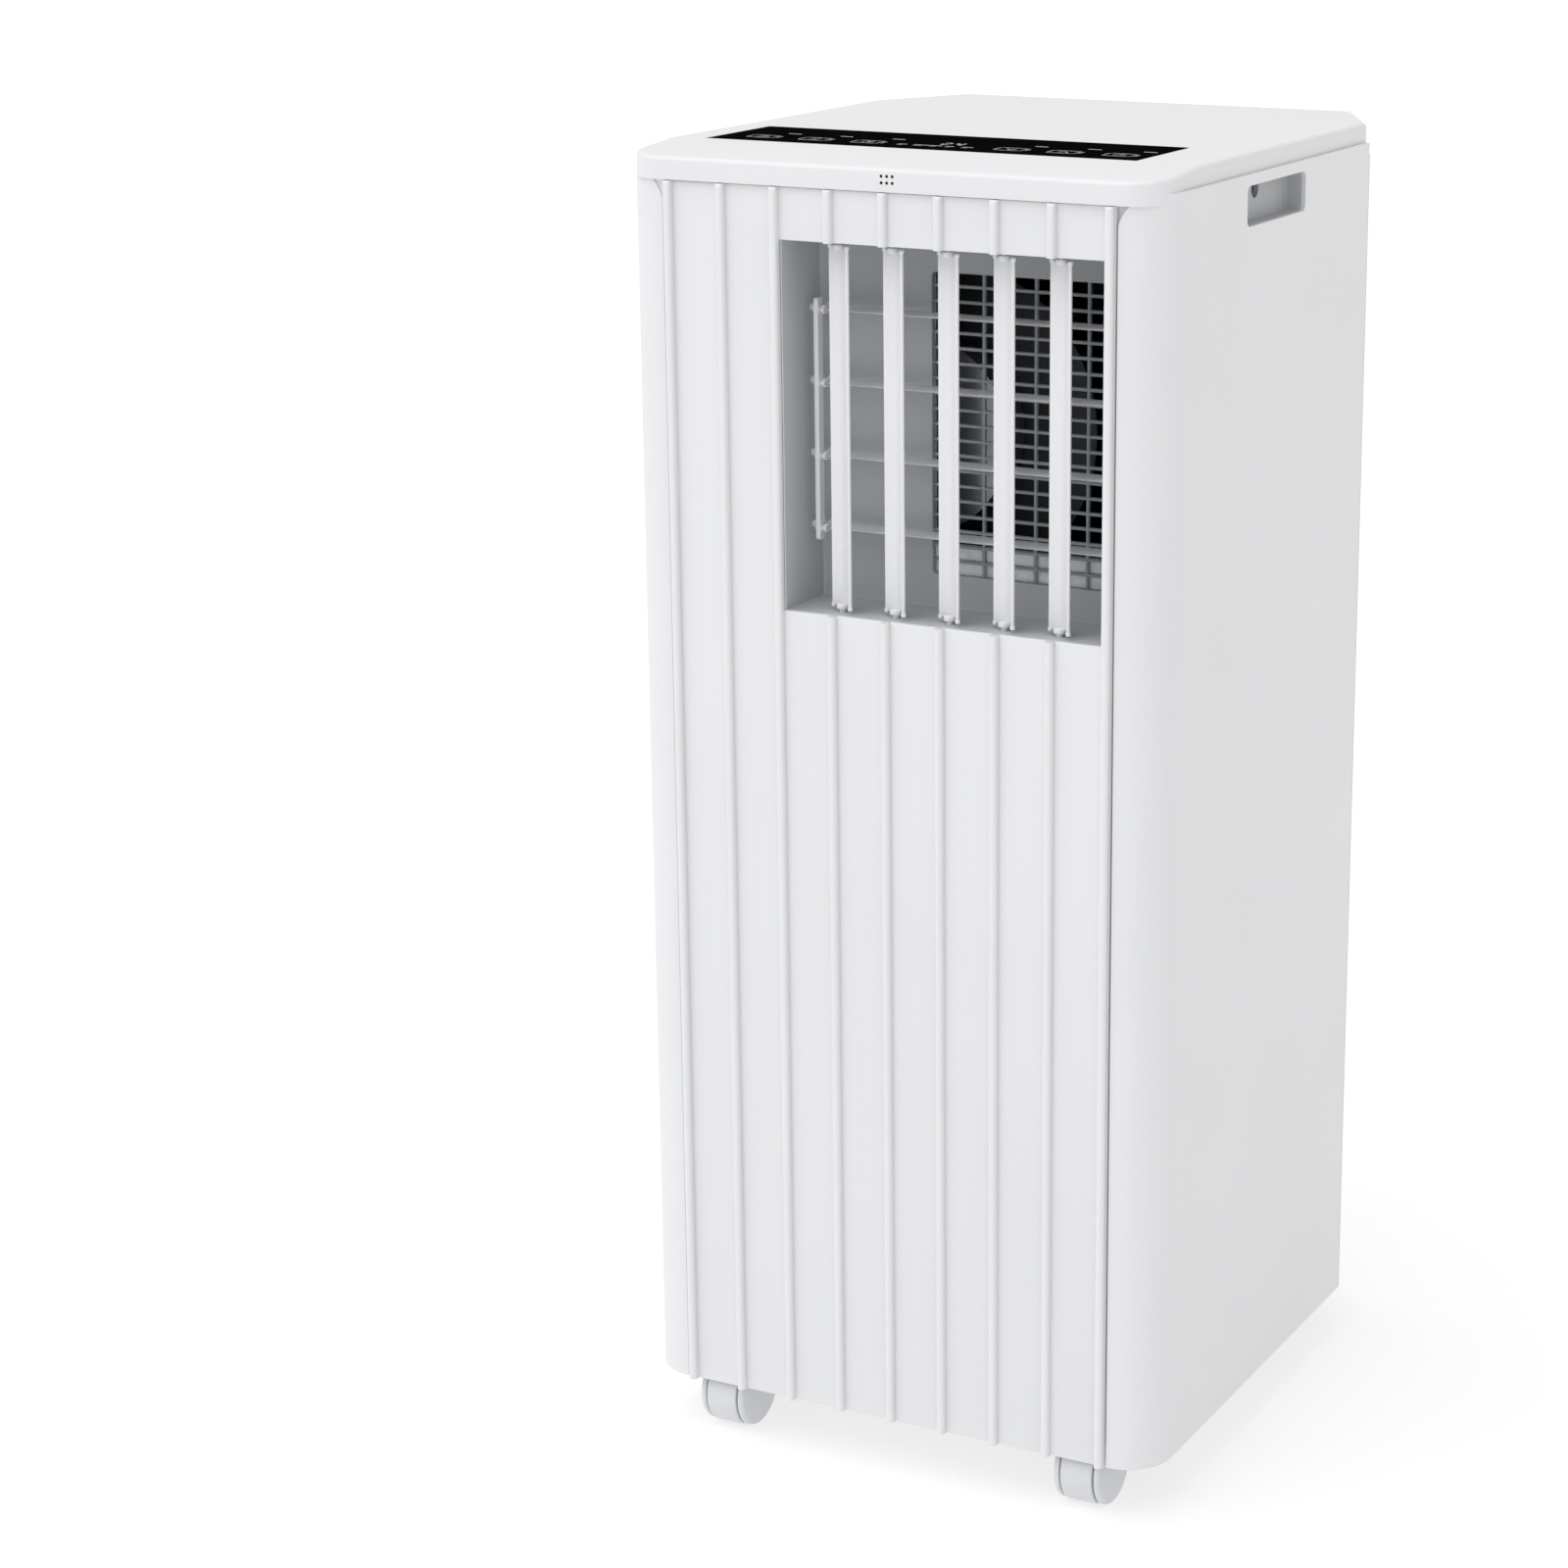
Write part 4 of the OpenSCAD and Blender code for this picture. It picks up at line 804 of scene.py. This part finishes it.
def circle_points(x, z, radius, steps):
    angles = [2 * pi * k / steps for k in range(steps)]
    return [(x + radius * cos(a), z + radius * sin(a)) for a in angles]


def centre_xz(node):
    low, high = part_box(node)
    return (low.x + high.x) / 2, (low.z + high.z) / 2


collar_x, collar_z = centre_xz("exhaust_collar")
bm = bmesh.new()
flat_half = HALF - REAR_CUT[0]
loops = ring_of(bm, [(x, BACK, z) for x, z in [
    (-flat_half, GROUND), (flat_half, GROUND), (flat_half, rear_high.z), (-flat_half, rear_high.z)]])
sides = [loops[1], loops[3]]
holes = [round_slot((low.x - FILTER_GAP, low.z - FILTER_GAP), (high.x + FILTER_GAP, high.z + FILTER_GAP),
                    2 * MM, steps=3) for low, high in (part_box("upper_filter"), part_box("lower_filter"))]
holes.append(circle_points(collar_x, collar_z, HOSE_RADIUS + COLLAR_WALL + GAP, 96))
holes += [circle_points(*centre_xz(node), DRAIN_HOLE, 32) for node in ("upper_drain_cap", "lower_drain_plug")]
holes.append(circle_points(*centre_xz("cord_gland"), GLAND_HOLE, 32))
for hole in holes:
    loops += ring_of(bm, [(x, BACK, z) for x, z in hole])
bmesh.ops.triangle_fill(bm, edges=loops, use_beauty=True)
for edge in sides:
    for v in new_verts(bmesh.ops.extrude_edge_only(bm, edges=[edge])["geom"]):
        v.co = (HALF if v.co.x > 0 else -HALF, rear_low.y + GAP, v.co.z)
place(bm, "rear_sheet", SHELL_WHITE, "cabinet", "white_shell", ["rear_panel"], wall=WALL, sharp=20)

# ---- Filter cassettes ----
# White moulded cassettes that pull out to the rear: a frame, upright slats in three bays, a finger
# notch at the top, and a fine dark net heat-welded behind the slats.


def net_material():
    """A woven filter net: fine crossed threads as bump and shade, on Object coordinates."""
    material = bpy.data.materials.new("filter_net")
    material.use_nodes = True
    tree = material.node_tree
    shader = tree.nodes["Principled BSDF"]
    place_node = tree.nodes.new("ShaderNodeTexCoord")
    threads = []
    for direction in ("X", "Z"):
        wave = tree.nodes.new("ShaderNodeTexWave")
        wave.bands_direction = direction
        wave.inputs["Scale"].default_value = 260
        tree.links.new(place_node.outputs["Object"], wave.inputs["Vector"])
        threads.append(wave)
    weave = tree.nodes.new("ShaderNodeMath")
    weave.operation = "MAXIMUM"
    for k, wave in enumerate(threads):
        tree.links.new(wave.outputs["Fac"], weave.inputs[k])
    ramp = tree.nodes.new("ShaderNodeValToRGB")
    ramp.color_ramp.elements[0].color = (0.012, 0.014, 0.016, 1)
    ramp.color_ramp.elements[1].color = (0.16, 0.17, 0.18, 1)
    tree.links.new(weave.outputs[0], ramp.inputs["Fac"])
    tree.links.new(ramp.outputs["Color"], shader.inputs["Base Color"])
    bump = tree.nodes.new("ShaderNodeBump")
    bump.inputs["Distance"].default_value = 0.0002
    tree.links.new(weave.outputs[0], bump.inputs["Height"])
    tree.links.new(bump.outputs["Normal"], shader.inputs["Normal"])
    shader.inputs["Roughness"].default_value = 0.7
    return material


FILTER_NET = net_material()
SLATS = 16
SLAT = 2 * MM
CROSS_BAR = 4 * MM
FRAME_BAR = 9 * MM
NOTCH = 6 * MM
NOTCH_HALF = 22 * MM
NOTCH_DEPTH = 3 * MM


def filter_cassette(node, name):
    low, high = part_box(node)
    bm = bmesh.new()
    left, right = low.x + FRAME_BAR, high.x - FRAME_BAR
    foot, head = low.z + FRAME_BAR, high.z - FRAME_BAR
    step = high.y - NOTCH_DEPTH
    bars = [
        ((low.x, low.y, low.z), (left, high.y, high.z)), ((right, low.y, low.z), (high.x, high.y, high.z)),
        ((left, low.y, low.z), (right, high.y, foot)), ((left, low.y, head), (right, step, high.z)),
        ((left, step, head), (-NOTCH_HALF, high.y, high.z)),
        ((NOTCH_HALF, step, head), (right, high.y, high.z)),
        ((-NOTCH_HALF, step, head), (NOTCH_HALF, high.y, high.z - NOTCH)),
    ]
    for a, b in bars:
        outside = edges_of(block(bm, a, b), lambda p, q: p.y > b[1] - SLIVER and q.y > b[1] - SLIVER)
        soften(bm, outside, 0.6 * MM, 2)
    pitch = (right - left + SLAT) / SLATS
    bay = (head - foot + CROSS_BAR) / 3
    for i in range(1, SLATS):
        x = left + i * pitch - SLAT
        slat = block(bm, (x, low.y + 4 * MM, foot), (x + SLAT, high.y - 0.8 * MM, head))
        soften(bm, edges_of(slat, lambda p, q: abs(p.z - q.z) > MM and p.y > high.y - MM), 0.8 * MM, 3)
    for i in (1, 2):
        z = foot + i * bay - CROSS_BAR
        cross = block(bm, (left, low.y + 4 * MM, z), (right, high.y, z + CROSS_BAR))
        soften(bm, edges_of(cross, lambda p, q: abs(p.x - q.x) > MM and p.y > high.y - SLIVER), 0.8 * MM, 3)
    place(bm, name, SHELL_WHITE, node, "white_shell", [node], weld=False)
    bm = bmesh.new()
    block(bm, (left - MM, low.y + 2.4 * MM, foot - MM), (right + MM, low.y + 3.2 * MM, head + MM))
    bmesh.ops.subdivide_edges(bm, edges=bm.edges[:], cuts=3, use_grid_fill=True)
    place(bm, name + "_net", FILTER_NET, node, "white_shell")


filter_cassette("upper_filter", "upper_cassette")
filter_cassette("lower_filter", "lower_cassette")

# ---- Hose collar ----
# A pale ABS ring with a rolled outer lip, an inner flange and two bayonet lugs for the hose
# adapter. It is clamped between the rear panel and the warm blower's housing.

COLLAR_GREY = moulded("collar_grey", (0.7, 0.71, 0.72), tone=0.05, roughness=0.48)


def turned(bm, profile, centre, axis, steps=96):
    """Spins an open profile of (radius, along) pairs round an axis through a point."""
    axis = Vector(axis)
    across = Vector((0, 0, 1)) if abs(axis.z) < 0.5 else Vector((1, 0, 0))
    verts = [bm.verts.new(Vector(centre) + across * r + axis * a) for r, a in profile]
    edges = [bm.edges.new(pair) for pair in zip(verts, verts[1:])]
    return bmesh.ops.spin(bm, geom=verts + edges, cent=centre, axis=axis, dvec=(0, 0, 0), angle=2 * pi,
                          steps=steps, use_merge=True)


FLANGE, FLANGE_THICK = 6 * MM, 4 * MM
collar_low, collar_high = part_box("exhaust_collar")
bm = bmesh.new()
inner_r, outer_r = HOSE_RADIUS, HOSE_RADIUS + COLLAR_WALL
lip_r, lip_y = COLLAR_WALL / 2, collar_high.y - collar_low.y - COLLAR_WALL / 2
lip = [(inner_r + lip_r + lip_r * cos(a), lip_y + lip_r * sin(a)) for a in (pi * k / 8 for k in range(9))]
profile = [(outer_r + FLANGE, 0), (outer_r + FLANGE, FLANGE_THICK), (outer_r, FLANGE_THICK)]
profile += lip + [(inner_r, 0), (outer_r + FLANGE, 0)]
turned(bm, profile, (collar_x, collar_low.y, collar_z), (0, 1, 0))
place(bm, "hose_collar", COLLAR_GREY, "cabinet", "pale_plastic", ["exhaust_collar"], sharp=40)

# ---- Drain plugs, cord gland and screws ----
# Black rubber plugs with a finger bar close the two drain spouts. The gland is a turned black
# bush for the mains cord. Six zinc-plated pan-head screws with a cross slot hold the rear panel.

RUBBER = moulded("rubber_black", (0.035, 0.035, 0.037), tone=0.2, roughness=0.75, grain=1500, depth=0.00006)
DARK_PLASTIC = moulded("dark_plastic", (0.06, 0.06, 0.065), tone=0.1, roughness=0.5)
ZINC = moulded("zinc_steel", (0.62, 0.62, 0.64), tone=0.15, roughness=0.32, metallic=1.0, depth=0.00001)


PLUG_BORE = 5.95 * MM
PLUG_DEPTH = 14 * MM
CAP_THICK = 3 * MM


def drain_plug(node, name):
    low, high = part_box(node)
    x, z = centre_xz(node)
    radius = (high.x - low.x) / 2
    cap_end = PLUG_DEPTH + CAP_THICK
    bm = bmesh.new()
    profile = [(0, 0), (PLUG_BORE - MM, 0), (PLUG_BORE, MM), (PLUG_BORE, PLUG_DEPTH),
               (radius - 0.6 * MM, PLUG_DEPTH), (radius, PLUG_DEPTH + 0.6 * MM),
               (radius, cap_end - 0.8 * MM), (radius - 0.8 * MM, cap_end), (0, cap_end)]
    turned(bm, profile, (x, low.y, z), (0, 1, 0), steps=48)
    tab = block(bm, (x - 1.5 * MM, low.y + PLUG_DEPTH + 2 * MM, z - 7 * MM), (x + 1.5 * MM, high.y, z + 7 * MM))
    soften(bm, edges_of(tab, lambda a, b: True), 0.7 * MM, 3)
    place(bm, name, RUBBER, node, "rubber", [node])


drain_plug("upper_drain_cap", "upper_plug")
drain_plug("lower_drain_plug", "lower_plug")

CORD_RADIUS = 4 * MM
NECK_STEP = 2.6 * MM
HEAD_THICK = 2 * MM
EASE = 0.8 * MM
gland_low, gland_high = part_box("cord_gland")
gland_x, gland_z = centre_xz("cord_gland")
bm = bmesh.new()
gland_r, length = (gland_high.x - gland_low.x) / 2, gland_high.y - gland_low.y
neck_r = gland_r - NECK_STEP
profile = [(CORD_RADIUS, 0), (neck_r, 0), (neck_r, length - HEAD_THICK), (gland_r, length - HEAD_THICK),
           (gland_r, length - EASE), (gland_r - EASE, length), (CORD_RADIUS + EASE, length),
           (CORD_RADIUS, length - EASE), (CORD_RADIUS, 0)]
turned(bm, profile, (gland_x, gland_low.y, gland_z), (0, 1, 0), steps=48)
place(bm, "cord_bush", DARK_PLASTIC, "cabinet", "dark_plastic", ["cord_gland"], sharp=40)

SCREW_HEAD = 3.2 * MM
SHANK = 1.5 * MM
SCREW_LENGTH = 9 * MM
SLOT_LONG, SLOT_SHORT = 1.2 * MM, 0.25 * MM
screw_low, screw_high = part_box("panel_screws")
bm = bmesh.new()
profile = [(0, -SCREW_LENGTH), (SHANK, -SCREW_LENGTH + MM), (SHANK, 0), (SCREW_HEAD, 0), (SCREW_HEAD, 0.7 * MM),
           (2.6 * MM, 1.4 * MM), (1.5 * MM, 1.75 * MM), (1.4 * MM, 0.9 * MM), (0, 0.9 * MM)]
for x in (screw_low.x + SCREW_HEAD, screw_high.x - SCREW_HEAD):
    for z in (screw_low.z + SCREW_HEAD, collar_z, screw_high.z - SCREW_HEAD):
        turned(bm, profile, (x, BACK, z), (0, 1, 0), steps=24)
        for w, h in ((SLOT_LONG, SLOT_SHORT), (SLOT_SHORT, SLOT_LONG)):
            block(bm, (x - w, BACK + 0.6 * MM, z - h), (x + w, BACK + 1.2 * MM, z + h))
place(bm, "rear_screws", ZINC, "cabinet", "screw_steel", ["panel_screws"], sharp=40)

# ---- Casters ----
# Four light grey nylon twin-wheel casters. A smooth hood covers the wheels' middle and carries
# the stem, and two thin wheels with domed faces turn on one axle through it.

NYLON_GREY = moulded("nylon_grey", (0.66, 0.67, 0.69), tone=0.06, roughness=0.4, spread=0.15)
CASTER_TRAIL = 10 * MM
AXLE = 3 * MM
HUB = 7 * MM
STEM = 5 * MM
WHEEL_GAP = 0.9 * MM
TREAD_ROUND = 2.2 * MM


def caster(number):
    hood_node, wheel_node = f"caster_hood_{number}", f"caster_wheels_{number}"
    hood_low, hood_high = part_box(hood_node)
    low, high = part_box(wheel_node)
    x = (low.x + high.x) / 2
    y = (low.y + high.y) / 2
    radius = (high.z - low.z) / 2
    half = (hood_high.x - hood_low.x) / 2
    hood_r = radius + 0.5 * MM
    bm = bmesh.new()
    shell = rod(bm, (x - half, y, radius), (x + half, y, radius), hood_r, 72)
    soften(bm, edges_of(shell, lambda a, b: abs(a.x - b.x) < SLIVER), 0.7 * MM, 3)
    cuts = [((0, 0, 3.2 * MM), (0, 0, -1)), ((0, y + 0.2 * MM, radius - 6 * MM), (0, 0.75, -0.66))]
    for point, normal in cuts:
        bmesh.ops.bisect_plane(bm, geom=bm.verts[:] + bm.edges[:] + bm.faces[:], dist=1e-7, plane_co=point,
                               plane_no=normal, clear_outer=True)
        bmesh.ops.remove_doubles(bm, verts=bm.verts, dist=1e-5)
        bmesh.ops.contextual_create(bm, geom=open_edges(bm.edges))
    pivot_y = y + CASTER_TRAIL
    boss = block(bm, (x - half, y, radius + 2 * MM), (x + half, pivot_y + 7 * MM, radius + 18 * MM))
    soften(bm, edges_of(boss, lambda a, b: a.y > y + MM and b.y > y + MM), 3 * MM, 5)
    stem_foot, stem_top = radius + 16 * MM, hood_high.z
    rod(bm, (x, pivot_y, stem_foot), (x, pivot_y, stem_top - 16.4 * MM), HUB, 40)
    rod(bm, (x, pivot_y, stem_foot), (x, pivot_y, stem_top - MM), STEM, 40)
    rod(bm, (x, pivot_y, stem_top - MM), (x, pivot_y, stem_top), STEM, 40, STEM - MM)
    rod(bm, (x - half, y, radius), (x + half, y, radius), HUB, 40)
    place(bm, f"caster_cover_{number}", NYLON_GREY, hood_node, "caster_plastic", [hood_node], sharp=40,
          weld=False)

    bm = bmesh.new()
    width = (high.x - low.x) / 2 - half - WHEEL_GAP
    tread_r, tread_x = radius - TREAD_ROUND, width - 1.2 * MM - TREAD_ROUND
    profile = [(0, 0), (radius - 0.5 * MM, 0), (radius, 0.5 * MM)]
    profile += [(tread_r + TREAD_ROUND * cos(a), tread_x + TREAD_ROUND * sin(a))
                for a in (pi / 2 * k / 6 for k in range(7))]
    profile += [(radius * 0.62, width - 0.5 * MM), (radius * 0.3, width), (0, width)]
    for way in (1, -1):
        turned(bm, profile, (x + way * (half + WHEEL_GAP), y, radius), (way, 0, 0), steps=72)
    rod(bm, (x - half - 1 * MM, y, radius), (x + half + 1 * MM, y, radius), AXLE, 32)
    place(bm, f"caster_wheel_pair_{number}", NYLON_GREY, wheel_node, "caster_plastic", [wheel_node], sharp=40)


for number in range(1, 5):
    caster(number)

# ---- Base and structure ----
# The base pan is a pale ABS tray with sockets for the casters. Four zinc-plated posts carry the
# mid deck, a pale tray that parts the cold side from the warm side.

BASE_GREY = moulded("base_grey", (0.62, 0.63, 0.64), tone=0.08, roughness=0.5)
refinish(BASE_GREY, "base_pan", "mid_deck")
refinish(ZINC, "deck_posts")
refinish(DARK_PLASTIC, "caster_sockets")

# ---- Control and power electronics ----
# Green fibreglass boards with copper tracks under the solder mask, a dark moulded power box,
# and a run capacitor in a drawn aluminium can.


def board_material():
    """Solder mask with paler tracks that run in steps under it."""
    material = moulded("board_green", (0.02, 0.12, 0.05), tone=0.3, mottle=60, roughness=0.3, coat=0.4)
    tree = material.node_tree
    shader = tree.nodes["Principled BSDF"]
    skin = next(n for n in tree.nodes if n.type == "GROUP")
    place_node, tracks = tree.nodes.new("ShaderNodeTexCoord"), tree.nodes.new("ShaderNodeTexBrick")
    tracks.inputs["Scale"].default_value = 90
    tracks.inputs["Mortar Size"].default_value = 0.03
    for side, shade in (("Color1", 0), ("Color2", 0), ("Mortar", 1)):
        tracks.inputs[side].default_value = (shade, shade, shade, 1)
    tree.links.new(place_node.outputs["Object"], tracks.inputs["Vector"])
    blend = tree.nodes.new("ShaderNodeMix")
    blend.data_type = "RGBA"
    tree.links.new(tracks.outputs["Color"], blend.inputs["Factor"])
    tree.links.new(skin.outputs["Colour"], blend.inputs["A"])
    blend.inputs["B"].default_value = (0.06, 0.25, 0.1, 1)
    tree.links.new(blend.outputs["Result"], shader.inputs["Base Color"])
    return material


BOARD_GREEN = board_material()
CAN_ALUMINIUM = moulded("can_aluminium", (0.78, 0.78, 0.79), tone=0.1, roughness=0.28, metallic=1.0,
                        stretch=(1, 1, 0.05))
refinish(BOARD_GREEN, "control_board")
refinish(DARK_PLASTIC, "power_box")
refinish(CAN_ALUMINIUM, "capacitor")

# ---- Blowers ----
# The cold blower runs in a white moulded bead-foam scroll whose colour is painted dark behind its
# front face, as painted shade inside the scroll, the warm one in a pale ABS scroll. Both wheels are dark
# moulded cages on steel shafts, driven by zinc-plated motors.

# Where the foam's painted shade begins, just behind its front face.
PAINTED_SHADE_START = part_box("cold_blower_housing")[0].y + 0.5 * MM


def bead_foam_with_painted_shade():
    """Moulded bead foam, white at its front face and painted dark behind it: painted shade inside the scroll.
    """
    material = bpy.data.materials.new("bead_foam_with_painted_shade")
    material.use_nodes = True
    tree = material.node_tree
    shader = tree.nodes["Principled BSDF"]
    place_node, cells = tree.nodes.new("ShaderNodeTexCoord"), tree.nodes.new("ShaderNodeTexVoronoi")
    cells.inputs["Scale"].default_value = 260
    tree.links.new(place_node.outputs["Object"], cells.inputs["Vector"])
    # The beads' colour is lighter at their middles and darker towards their edges: painted shade in the creases
    # between beads.
    ramp = tree.nodes.new("ShaderNodeValToRGB")
    ramp.color_ramp.elements[0].color = (0.93, 0.935, 0.94, 1)
    ramp.color_ramp.elements[1].color = (0.8, 0.81, 0.82, 1)
    ramp.color_ramp.elements[0].position = 0.45
    tree.links.new(cells.outputs["Distance"], ramp.inputs["Fac"])
    # Behind the front face the foam's colour is mixed to near black: painted shade inside the scroll.
    split, painted_shade_mask = tree.nodes.new("ShaderNodeSeparateXYZ"), tree.nodes.new("ShaderNodeMath")
    coat = tree.nodes.new("ShaderNodeMix")
    painted_shade_mask.operation = "GREATER_THAN"
    painted_shade_mask.inputs[1].default_value = PAINTED_SHADE_START
    coat.data_type = "RGBA"
    coat.inputs["B"].default_value = (0.012, 0.016, 0.02, 1)
    tree.links.new(place_node.outputs["Object"], split.inputs[0])
    tree.links.new(split.outputs["Y"], painted_shade_mask.inputs[0])
    tree.links.new(painted_shade_mask.outputs[0], coat.inputs["Factor"])
    tree.links.new(ramp.outputs["Color"], coat.inputs["A"])
    tree.links.new(coat.outputs["Result"], shader.inputs["Base Color"])
    bump = tree.nodes.new("ShaderNodeBump")
    bump.invert = True
    bump.inputs["Distance"].default_value = 0.0004
    tree.links.new(cells.outputs["Distance"], bump.inputs["Height"])
    tree.links.new(bump.outputs["Normal"], shader.inputs["Normal"])
    shader.inputs["Roughness"].default_value = 0.75
    return material


refinish(bead_foam_with_painted_shade(), "cold_blower_housing")
refinish(COLLAR_GREY, "warm_blower_housing")
refinish(DARK_PLASTIC, "cold_blower_wheel", "warm_blower_wheel")
refinish(ZINC, "cold_blower_motor", "warm_blower_motor", "vane_motor")

# ---- Coils and refrigerant circuit ----
# Pressed aluminium fins on copper tubes, a black painted compressor and accumulator on rubber
# grommets, and drawn copper pipes brazed between them.

FIN_ALUMINIUM = moulded("fin_aluminium", (0.72, 0.74, 0.77), tone=0.12, roughness=0.35, metallic=1.0,
                        grain=900)
PAINT_BLACK = moulded("paint_black", (0.02, 0.02, 0.022), tone=0.2, roughness=0.32, grain=700,
                      depth=0.00005, coat=0.3)
COPPER = moulded("drawn_copper", (0.72, 0.34, 0.2), tone=0.35, mottle=25, roughness=0.3, metallic=1.0,
                 depth=0.00001)
refinish(FIN_ALUMINIUM, "evaporator_coil", "condenser_coil")
refinish(PAINT_BLACK, "compressor", "accumulator")
refinish(RUBBER, "compressor_grommets")
refinish(COPPER, "suction_pipe", "discharge_pipe")

# ---- Floor, light and camera ----
# A plain pale floor, lit from below so that shadows stay faint, soft white light all round with
# a broad lamp high on the left, and the camera in front and to the right, looking down a little.

FLOOR_HALF = 30
FLOOR_GLOW = 0.65
WORLD_LIGHT = 0.75


def floor_material():
    """Pale acrylic sheet with a lamp under it."""
    material = moulded("floor_white", (0.35, 0.35, 0.352), tone=0.01, mottle=2, roughness=0.8, spread=0.02,
                       depth=0.0)
    shader = material.node_tree.nodes["Principled BSDF"]
    shader.inputs["Emission Color"].default_value = (1, 1, 1, 1)
    shader.inputs["Emission Strength"].default_value = FLOOR_GLOW
    return material


bm = bmesh.new()
bmesh.ops.create_grid(bm, x_segments=8, y_segments=8, size=FLOOR_HALF)
mesh = bpy.data.meshes.new("floor")
bm.to_mesh(mesh)
bm.free()
mesh.materials.append(floor_material())
floor = bpy.data.objects.new("floor", mesh)
bpy.context.collection.objects.link(floor)

world = bpy.data.worlds.new("studio")
bpy.context.scene.world = world
world.use_nodes = True
sky = world.node_tree.nodes["Background"]
sky.inputs["Color"].default_value = (1.0, 1.0, 1.0, 1)
sky.inputs["Strength"].default_value = WORLD_LIGHT


def soft_sun(name, azimuth, elevation, strength, width):
    """A broad distant lamp, azimuth measured from the front towards the right."""
    data = bpy.data.lights.new(name, "SUN")
    data.energy, data.angle = strength, radians(width)
    lamp = bpy.data.objects.new(name, data)
    bpy.context.collection.objects.link(lamp)
    a, e = radians(azimuth), radians(elevation)
    lamp.rotation_euler = Vector((sin(a) * cos(e), -cos(a) * cos(e), sin(e))).to_track_quat("Z", "Y").to_euler()


soft_sun("key_lamp", -40, 60, 1.5, 70)

AZIMUTH, ELEVATION = radians(26.3), radians(15.2)
CAMERA_PLACE = (0.8238, -1.7233, 0.8861)
LENS, SENSOR = 83.6, 36
SHIFT_X, SHIFT_Y = -0.125, -0.031
back_way = Vector((sin(AZIMUTH) * cos(ELEVATION), -cos(AZIMUTH) * cos(ELEVATION), sin(ELEVATION)))
view_data = bpy.data.cameras.new("front_view")
view_data.sensor_width, view_data.lens = SENSOR, LENS
view_data.shift_x, view_data.shift_y = SHIFT_X, SHIFT_Y
camera = bpy.data.objects.new("front_view", view_data)
bpy.context.collection.objects.link(camera)
camera.location = CAMERA_PLACE
camera.rotation_euler = (-back_way).to_track_quat("-Z", "Y").to_euler()
bpy.context.scene.camera = camera
bpy.context.scene.view_settings.view_transform = "Standard"
